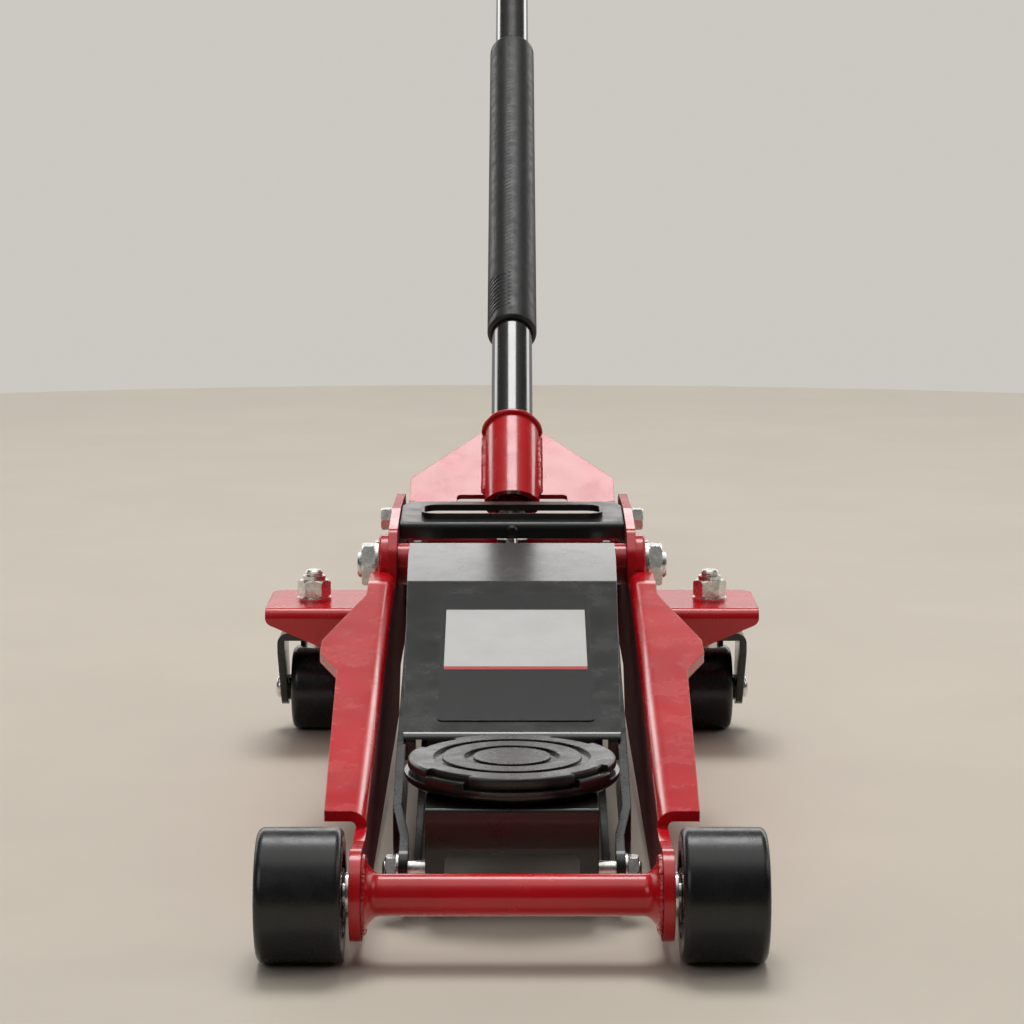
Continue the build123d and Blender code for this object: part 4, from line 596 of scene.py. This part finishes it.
def add_turned(tool, origin, along, profile, sides=48, capped=True):
    """A turned form about a line: the profile lists (distance along, radius)."""
    first = along.orthogonal().normalized()
    second = along.cross(first)
    rings = []
    for distance, radius in profile:
        circle = ring_of_points(origin + along * distance, first, second, radius, sides)
        rings.append([tool.verts.new(p) for p in circle])
    skin_rings(tool, rings, False, capped)


class FLOORJACK_OT_paint_frame(bpy.types.Operator):
    """Red enamel on the frame, its crossbars, caster arms and yoke"""

    bl_idname = "floor_jack.paint_frame"
    bl_label = "Paint frame"

    def execute(self, context):
        paint("red_enamel", "front_crossbar", "rear_crossbar", "left_caster_arm", "right_caster_arm",
              "pivot_spacers", "yoke_wings", "handle_socket", "cam_lugs")
        # the side plates' enamel carries painted shade on their inner faces
        paint("red_plate_shaded_inside", "left_side_plate", "right_side_plate")
        return {"FINISHED"}


class FLOORJACK_OT_paint_arm(bpy.types.Operator):
    """Black enamel on the lift arm, saddle bracket, tie rods and top cover"""

    bl_idname = "floor_jack.paint_arm"
    bl_label = "Paint lift arm"

    def execute(self, context):
        paint("black_satin", "left_arm_plate", "right_arm_plate", "horn_plates", "tie_rods")
        paint("arm_black", "arm_top_plate")
        paint("black_matt", "top_cover", "cover_screw")
        paint("black_gloss", "handle_lower_tube", "handle_upper_tube")
        paint("black_cast", "saddle_bracket", "saddle_cup", "power_unit_base", "reservoir_tube",
              "left_caster_fork", "right_caster_fork")
        return {"FINISHED"}


class FLOORJACK_OT_plate_fasteners(bpy.types.Operator):
    """Zinc and bare steel on fasteners, pins and the pump"""

    bl_idname = "floor_jack.plate_fasteners"
    bl_label = "Plate fasteners"

    def execute(self, context):
        paint("zinc", "axle_washers", "front_axle", "main_pivot_bolts", "main_pivot_nuts",
              "tie_rod_anchor", "horn_pin", "saddle_pin", "saddle_pin_nuts", "tie_rod_studs",
              "saddle_clip", "caster_kingpins", "caster_nuts", "left_caster_axle",
              "right_caster_axle", "power_unit_bolts", "filler_plug", "cam_pin",
              "yoke_pivot_bolts", "yoke_washers", "valve_spindle", "handle_driver")
        paint("turned_steel", "horn_roller", "cam_roller", "caster_bearings", "ram_cylinder",
              "pump_plunger", "pump_spring")
        paint("polished_rod", "ram")
        return {"FINISHED"}


class FLOORJACK_OT_mould_rollers(bpy.types.Operator):
    """Satin black on rollers and wheels, rubber on the saddle pad"""

    bl_idname = "floor_jack.mould_rollers"
    bl_label = "Mould rollers and pad"

    def execute(self, context):
        paint("roller_nylon", "left_front_roller", "right_front_roller", "left_caster_wheel",
              "right_caster_wheel")
        paint("pad_rubber", "saddle_pad")
        return {"FINISHED"}


class FLOORJACK_OT_weld_frame(bpy.types.Operator):
    """Weld beads on the frame: round the crossbars and along the caster arms"""

    bl_idname = "floor_jack.weld_frame"
    bl_label = "Weld frame"

    def execute(self, context):
        dice = random.Random(11)
        bead = context.scene.jack_sizes.bead_radius
        step = bead * 0.36
        tool = bmesh.new()
        plate_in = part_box("right_side_plate")[0].x
        plate_out = plate_in + 6 * MM
        rear_bar = sum(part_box("rear_crossbar"), Vector()) / 2
        arm_low, arm_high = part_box("right_caster_arm")
        for side in (-1, 1):
            for centre, radius in ((rear_bar, 8.6 * MM), (AXLE, 19.2 * MM)):
                middle = Vector((side * (plate_in - 0.2 * bead), centre.y, centre.z))
                count = 3 * round(2 * pi * radius / step / 3)
                add_bead(tool, ring_of_points(middle, BACK, UP, radius, count), bead * 0.8, dice,
                         closed=True)
            x = side * (plate_out + 0.2 * bead)
            top_start = Vector((x, arm_low.y + 8 * MM, arm_high.z))
            top_end = Vector((x, arm_high.y - 3 * MM, arm_high.z))
            add_bead(tool, straight(top_start, top_end, step), bead, dice)
            gusset_top = Vector((x, arm_low.y, arm_high.z - 8 * MM))
            gusset_foot = Vector((x, arm_low.y, arm_low.z + 4 * MM))
            add_bead(tool, straight(gusset_foot, gusset_top, step), bead, dice)
        piece("frame_welds", tool, "weld_enamel", "frame")
        return {"FINISHED"}


class FLOORJACK_OT_weld_yoke(bpy.types.Operator):
    """Weld beads where the wings and cam lugs meet the handle socket"""

    bl_idname = "floor_jack.weld_yoke"
    bl_label = "Weld yoke"

    def execute(self, context):
        dice = random.Random(23)
        bead = context.scene.jack_sizes.bead_radius
        step = bead * 0.36
        tool = bmesh.new()
        wing_start, wing_end = HANDLE_LINE * 26 * MM, HANDLE_LINE * 92 * MM
        lug_start, lug_end = HANDLE_LINE * 28 * MM, HANDLE_LINE * 54 * MM
        for side in (-1, 1):
            for face in (-1, 1):
                foot = YOKE_CENTRE + ACROSS * side * 20.6 * MM + HANDLE_FACE * face * 2.4 * MM
                add_bead(tool, straight(foot + wing_start, foot + wing_end, step), bead * 0.85, dice)
            root = YOKE_CENTRE + ACROSS * side * 16.4 * MM - HANDLE_FACE * 12.6 * MM
            add_bead(tool, straight(root + lug_start, root + lug_end, step), bead * 0.8, dice)
        piece("yoke_welds", tool, "weld_enamel", "yoke")
        return {"FINISHED"}


def plate_patch(tool, x_start, x_end, reach_start, reach_end, height, corner, steps=6):
    """A flat patch with round corners on the arm's sloping top plate."""
    slope = PLATE_HIGH - PLATE_LOW
    along = slope.normalized()
    outward = ACROSS.cross(along)
    scale = slope.length / slope.y
    points = []
    centres = (
        (x_end - corner, reach_end - corner, 0), (x_start + corner, reach_end - corner, 1),
        (x_start + corner, reach_start + corner, 2), (x_end - corner, reach_start + corner, 3),
    )
    for x, reach, quarter in centres:
        for i in range(steps + 1):
            turn = (quarter + i / steps) * pi / 2
            run = (reach + corner * sin(turn) - PLATE_START) * scale
            points.append(PLATE_LOW + along * run + ACROSS * (x + corner * cos(turn)) + outward * height)
    thickness = 0.12 * MM
    top = [tool.verts.new(p) for p in points]
    foot = [tool.verts.new(p - outward * thickness) for p in points]
    tool.faces.new(top)
    tool.faces.new(reversed(foot))
    for i, vertex in enumerate(top):
        j = (i + 1) % len(top)
        tool.faces.new((vertex, foot[i], foot[j], top[j]))


def film_material(name, colour, roughness, speck):
    """Printed film with a faint tooth and slight yellowing."""
    material, tree, shader = new_material(name)
    cloud = use(tree, "clouding", scale=35.0, low=0.3, high=0.8)
    motes = use(tree, "settled_dust", amount=speck, scale=320.0)
    tone = blend_colour(tree, cloud.outputs["Mask"], colour, tint(colour, 0.9))
    dusty = blend_colour(tree, motes.outputs["Mask"], tone, FILM_DUST)
    normal = use(tree, "soft_surface", edge_radius=0.0002, grain_scale=1500.0, grain_height=0.00001)
    tree.links.new(dusty, shader.inputs["Base Color"])
    tree.links.new(normal.outputs["Normal"], shader.inputs["Normal"])
    shader.inputs["Roughness"].default_value = roughness
    return material


class FLOORJACK_OT_stick_label(bpy.types.Operator):
    """Blank label on the arm: dark film, pale panel and a red stripe"""

    bl_idname = "floor_jack.stick_label"
    bl_label = "Stick label"

    def execute(self, context):
        sizes = context.scene.jack_sizes
        middle = 2.2 * MM
        start = 209 * MM
        half = sizes.label_width / 2
        inner = half - 2.5 * MM
        film_height, print_height = 0.22 * MM, 0.34 * MM
        patches = (
            ("label_film", (0.012, 0.012, 0.0125), 0.27, half, 0.0, sizes.label_length, film_height,
             3 * MM, "black_paint"),
            ("label_panel", (0.60, 0.59, 0.57), 0.5, inner, 68 * MM, 145 * MM, print_height,
             0.8 * MM, "black_paint"),
            ("label_stripe", (0.55, 0.03, 0.03), 0.4, inner, 64 * MM, 67.8 * MM, print_height,
             0.6 * MM, "red_paint"),
        )
        for name, colour, roughness, reach, near, far, height, corner, slot_name in patches:
            tool = bmesh.new()
            plate_patch(tool, middle - reach, middle + reach, start + near, start + far, height, corner)
            obj = piece(name, tool, None, "lift_arm")
            obj.data.materials.append(film_material(name, colour, roughness, 0.1))
        return {"FINISHED"}


RIB_COUNT = 9


def quarter_turns(steps):
    """Angles from 0 to a quarter turn."""
    return [i * pi / 2 / steps for i in range(steps + 1)]


class FLOORJACK_OT_fit_sleeve(bpy.types.Operator):
    """Foam sleeve on the handle, with fine ribs over its lower part"""

    bl_idname = "floor_jack.fit_sleeve"
    bl_label = "Fit foam sleeve"

    def execute(self, context):
        pitch = context.scene.jack_sizes.sleeve_rib_pitch
        start, end = 222 * MM, 641 * MM
        outer, edge = 19.15 * MM, 3 * MM
        lower_bore, upper_bore, step_at = 15.6 * MM, 14.35 * MM, 604 * MM
        ribs_from = start + 12 * MM
        notches = int((end - start - 24 * MM) / pitch)
        turns = quarter_turns(6)
        outline = [(start, lower_bore + 0.2 * MM)]
        outline += [(start + edge * (1 - sin(t)), outer - edge * (1 - cos(t))) for t in reversed(turns)]
        outline += [(ribs_from + i * pitch / 6, outer) for i in range(6 * notches)]
        outline += [(end - edge * (1 - sin(t)), outer - edge * (1 - cos(t))) for t in turns]
        outline += [(end, upper_bore), (step_at, upper_bore), (step_at - 0.5 * MM, lower_bore)]
        tool = bmesh.new()
        sides = 96
        rings = []
        for distance, radius in outline:
            ring = []
            for i in range(sides):
                turn = 2 * pi * i / sides
                size = radius
                if radius == outer:
                    size -= self.groove(turn, distance - ribs_from, pitch, notches)
                outward = cos(turn) * ACROSS + sin(turn) * HANDLE_FACE
                ring.append(tool.verts.new(YOKE_CENTRE + HANDLE_LINE * distance + size * outward))
            rings.append(ring)
        skin_rings(tool, rings, True, False)
        bmesh.ops.recalc_face_normals(tool, faces=tool.faces)
        sleeve = piece("handle_foam", tool, "sleeve_foam", "handle")
        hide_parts("foam_sleeve")
        return {"FINISHED"}

    def groove(self, turn, run, pitch, notches):
        """Depth of the groove at a turn round the sleeve and a run up it: ribs below, notches above."""
        last = notches * pitch
        if not 0 <= run < last:
            return 0.0
        slant = 1.2 * pitch * max(0.0, -cos(turn))
        wave = max(0.0, cos(2 * pi * (run + slant) / pitch)) ** 2
        depth = max(0.0, 1 - abs(turn - radians(99)) / radians(9))
        if run >= RIB_COUNT * pitch:
            depth *= 0.75 - 0.5 * run / last
        elif radians(96) < turn < radians(230):
            depth = max(depth, max(0.0, sin(turn - radians(96))) ** 0.4)
        return 0.8 * MM * wave * depth


class FLOORJACK_OT_fit_grip(bpy.types.Operator):
    """Ribbed rubber grip at the end of the handle"""

    bl_idname = "floor_jack.fit_grip"
    bl_label = "Fit hand grip"

    def execute(self, context):
        start, end = 960 * MM, 1080 * MM
        outer, edge, bore = 17.95 * MM, 5 * MM, 14.35 * MM
        rib_pitch, groove_floor = 7 * MM, outer - 0.9 * MM
        vent, end_wall = 2 * MM, 4.8 * MM
        outline = [(start, bore + 0.1 * MM), (start, outer - 1.5 * MM), (start + 1.5 * MM, outer)]
        for i in range(14):
            at = start + 10 * MM + i * rib_pitch
            outline += [(at, outer), (at + 0.7 * MM, groove_floor), (at + 2.0 * MM, groove_floor),
                        (at + 2.7 * MM, outer)]
        outline += [(end - edge * (1 - sin(t)), outer - edge * (1 - cos(t))) for t in quarter_turns(6)]
        outline += [(end, vent), (end - end_wall, vent), (end - end_wall, bore)]
        tool = bmesh.new()
        rings = []
        for distance, radius in outline:
            circle = ring_of_points(YOKE_CENTRE + HANDLE_LINE * distance, ACROSS, HANDLE_FACE, radius, 64)
            rings.append([tool.verts.new(p) for p in circle])
        skin_rings(tool, rings, True, False)
        bmesh.ops.recalc_face_normals(tool, faces=tool.faces)
        grip = piece("handle_grip", tool, "grip_rubber", "handle")
        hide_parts("hand_grip")
        return {"FINISHED"}


class FLOORJACK_OT_cut_threads(bpy.types.Operator):
    """Threads on the bare ends of the kingpins, pivot bolts and saddle pins"""

    bl_idname = "floor_jack.cut_threads"
    bl_label = "Cut threads"

    def execute(self, context):
        frame_tool = bmesh.new()
        kingpin_low, kingpin_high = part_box("caster_kingpins")
        kingpin_x = 138 * MM
        pivot_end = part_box("main_pivot_bolts")[1].x
        pitch = 1.4 * MM
        for side in (-1, 1):
            origin = Vector((side * kingpin_x, (kingpin_low.y + kingpin_high.y) / 2,
                             kingpin_high.z - 5.5 * MM))
            self.add_thread(frame_tool, origin, UP, 6 * MM, pitch, 3)
            origin = Vector((side * (pivot_end - 4.4 * MM), PIVOT.y, PIVOT.z))
            self.add_thread(frame_tool, origin, ACROSS * side, 9 * MM, pitch, 2)
        piece("frame_threads", frame_tool, "zinc", "frame")
        arm_tool = bmesh.new()
        pin_low, pin_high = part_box("saddle_pin")
        middle = (pin_low + pin_high) / 2
        for side in (-1, 1):
            origin = Vector((side * (pin_high.x - 3.2 * MM), middle.y, middle.z))
            self.add_thread(arm_tool, origin, ACROSS * side, 5 * MM, pitch, 1)
        piece("arm_threads", arm_tool, "zinc", "lift_arm")
        return {"FINISHED"}

    def add_thread(self, tool, origin, along, radius, pitch, turns):
        """Grooves round a bolt end, drawn as rings of alternate radius."""
        profile = [(0.0, radius - 0.2 * MM)]
        for i in range(turns):
            at = i * pitch
            profile += [(at + 0.15 * pitch, radius - 0.2 * MM), (at + 0.5 * pitch, radius + 0.35 * MM),
                        (at + 0.85 * pitch, radius - 0.2 * MM)]
        profile.append((turns * pitch, radius - 0.3 * MM))
        add_turned(tool, origin, along, profile)


class FLOORJACK_OT_set_studio(bpy.types.Operator):
    """Pale floor, soft lights, pale surroundings and the camera"""

    bl_idname = "floor_jack.set_studio"
    bl_label = "Set studio"

    def execute(self, context):
        studio = context.scene.jack_studio
        self.lay_floor(studio)
        self.light(studio)
        self.surround(studio)
        camera = bpy.data.cameras.new("studio_camera")
        camera.sensor_width = 36
        camera.lens = 104.66
        camera.clip_end = 60
        seat = bpy.data.objects.new("studio_camera", camera)
        bpy.context.scene.collection.objects.link(seat)
        camera_distance, camera_height, camera_pitch = 1497 * MM, 442 * MM, radians(7.88)
        seat.location = (0, AXLE.y - camera_distance, camera_height)
        seat.rotation_euler = (pi / 2 - camera_pitch, 0, 0)
        context.scene.camera = seat
        context.scene.view_settings.view_transform = "Standard"
        return {"FINISHED"}

    def lay_floor(self, studio):
        """A large round floor with a faint mottle."""
        tool = bmesh.new()
        bmesh.ops.create_circle(tool, cap_ends=True, segments=180, radius=studio.floor_radius)
        mesh = bpy.data.meshes.new("studio_floor")
        tool.to_mesh(mesh)
        tool.free()
        floor = bpy.data.objects.new("studio_floor", mesh)
        bpy.context.scene.collection.objects.link(floor)
        material, tree, shader = new_material("pale_floor")
        cloud = use(tree, "clouding", scale=5.0, low=0.3, high=0.75)
        base = blend_colour(tree, cloud.outputs["Mask"], tint(studio.floor, 0.95), studio.floor)
        tree.links.new(base, shader.inputs["Base Color"])
        shader.inputs["Roughness"].default_value = 0.6
        shader.inputs["Specular IOR Level"].default_value = 0.15
        mesh.materials.append(material)

    def light(self, studio):
        """A light overhead, a wide one from behind for the shadow, and weak ones in front and aside."""
        aim = Vector((0, -0.45, 0))
        lamps = (
            ("overhead_light", "AREA", (0.0, 0.95, 3.0), 1.3, 1.0, studio.overhead, True),
            ("rear_light", "SUN", (0.0, 1.35, 3.5), 0.0, 0.0, studio.rear, False),
            ("front_light", "AREA", (-1.5, -2.6, 1.9), 1.4, 1.4, studio.front, True),
            ("side_light", "AREA", (2.4, -0.6, 1.6), 1.2, 1.2, studio.front * 0.6, True),
        )
        for name, kind, place, wide, deep, power, mirrored in lamps:
            lamp = bpy.data.lights.new(name, kind)
            if kind == "SUN":
                lamp.angle = radians(24)
            else:
                lamp.shape = "RECTANGLE"
                lamp.size, lamp.size_y = wide, deep
            lamp.energy = power
            obj = bpy.data.objects.new(name, lamp)
            obj.location = place
            obj.rotation_euler = (aim - Vector(place)).to_track_quat("-Z", "Y").to_euler()
            obj.visible_glossy = mirrored
            bpy.context.scene.collection.objects.link(obj)

    def surround(self, studio):
        """A plain backdrop for the camera; for the jack, a bright ceiling and a pale wall behind it."""
        world = bpy.data.worlds.new("studio_world")
        bpy.context.scene.world = world
        world.use_nodes = True
        tree = world.node_tree
        tree.nodes.clear()
        path = add_node(tree, "ShaderNodeLightPath")
        place = add_node(tree, "ShaderNodeTexCoord")
        split = add_node(tree, "ShaderNodeSeparateXYZ", None, {"Vector": place.outputs["Generated"]})
        ceiling = self.ramp(tree, split.outputs["Z"], ((0.0, 0.05), (0.60, 0.06), (0.80, 0.20),
                                                       (0.90, 0.50), (0.95, 1.3), (1.0, 1.3)))
        wall = self.ramp(tree, split.outputs["Z"], ((0.0, 0.25), (0.17, 0.34), (0.26, 2.5), (0.36, 2.5),
                                                    (0.43, 0.06), (1.0, 0.0)))
        behind = self.ramp(tree, split.outputs["Y"], ((0.0, 0.0), (0.25, 0.0), (0.65, 1.0), (1.0, 1.0)))
        both = add_node(tree, "ShaderNodeMath", {"operation": "MULTIPLY_ADD"},
                        {0: wall, 1: behind, 2: ceiling})
        seen = add_node(tree, "ShaderNodeBackground", None,
                        {"Color": (*studio.backdrop, 1.0), "Strength": 1.0})
        room = add_node(tree, "ShaderNodeBackground", None,
                        {"Color": (1.0, 0.985, 0.96, 1.0), "Strength": both.outputs["Value"]})
        whole = add_node(tree, "ShaderNodeMixShader", None,
                         {"Fac": path.outputs["Is Camera Ray"], 1: room.outputs[0],
                          2: seen.outputs[0]})
        out = add_node(tree, "ShaderNodeOutputWorld")
        tree.links.new(whole.outputs[0], out.inputs["Surface"])

    def ramp(self, tree, value, stops):
        """Grey level that follows the stops as the value goes from 0 to 1."""
        node = add_node(tree, "ShaderNodeFloatCurve", None, {"Value": value})
        curve = node.mapping.curves[0]
        node.mapping.use_clip = False
        curve.points[0].location = stops[0]
        curve.points[1].location = stops[-1]
        for stop in stops[1:-1]:
            curve.points.new(*stop)
        for point in curve.points:
            point.handle_type = "VECTOR"
        node.mapping.update()
        return node.outputs["Value"]


STEPS = (
    FLOORJACK_OT_paint_frame,
    FLOORJACK_OT_paint_arm,
    FLOORJACK_OT_plate_fasteners,
    FLOORJACK_OT_mould_rollers,
    FLOORJACK_OT_weld_frame,
    FLOORJACK_OT_weld_yoke,
    FLOORJACK_OT_stick_label,
    FLOORJACK_OT_fit_sleeve,
    FLOORJACK_OT_fit_grip,
    FLOORJACK_OT_cut_threads,
    FLOORJACK_OT_set_studio,
)


class FLOORJACK_PT_panel(bpy.types.Panel):
    """Steps that dress the floor jack, with their settings"""

    bl_idname = "FLOORJACK_PT_panel"
    bl_label = "Floor Jack"
    bl_space_type = "VIEW_3D"
    bl_region_type = "UI"
    bl_category = "Floor Jack"

    def draw(self, context):
        for group in (context.scene.jack_finish, context.scene.jack_sizes, context.scene.jack_studio):
            box = self.layout.box()
            for name in group.__annotations__:
                box.prop(group, name)
        for step in STEPS:
            self.layout.operator(step.bl_idname)


CLASSES = (JackFinish, JackSizes, JackStudio, *STEPS, FLOORJACK_PT_panel)


def register():
    """Adds the classes and the scene's settings."""
    for item in CLASSES:
        bpy.utils.register_class(item)
    bpy.types.Scene.jack_finish = PointerProperty(type=JackFinish)
    bpy.types.Scene.jack_sizes = PointerProperty(type=JackSizes)
    bpy.types.Scene.jack_studio = PointerProperty(type=JackStudio)


def unregister():
    """Takes the settings and classes away again."""
    del bpy.types.Scene.jack_studio
    del bpy.types.Scene.jack_sizes
    del bpy.types.Scene.jack_finish
    for item in reversed(CLASSES):
        bpy.utils.unregister_class(item)


def main():
    """Dresses the jack step by step."""
    register()
    for step in STEPS:
        group, name = step.bl_idname.split(".")
        getattr(getattr(bpy.ops, group), name)()


if __name__ == "__main__":
    main()
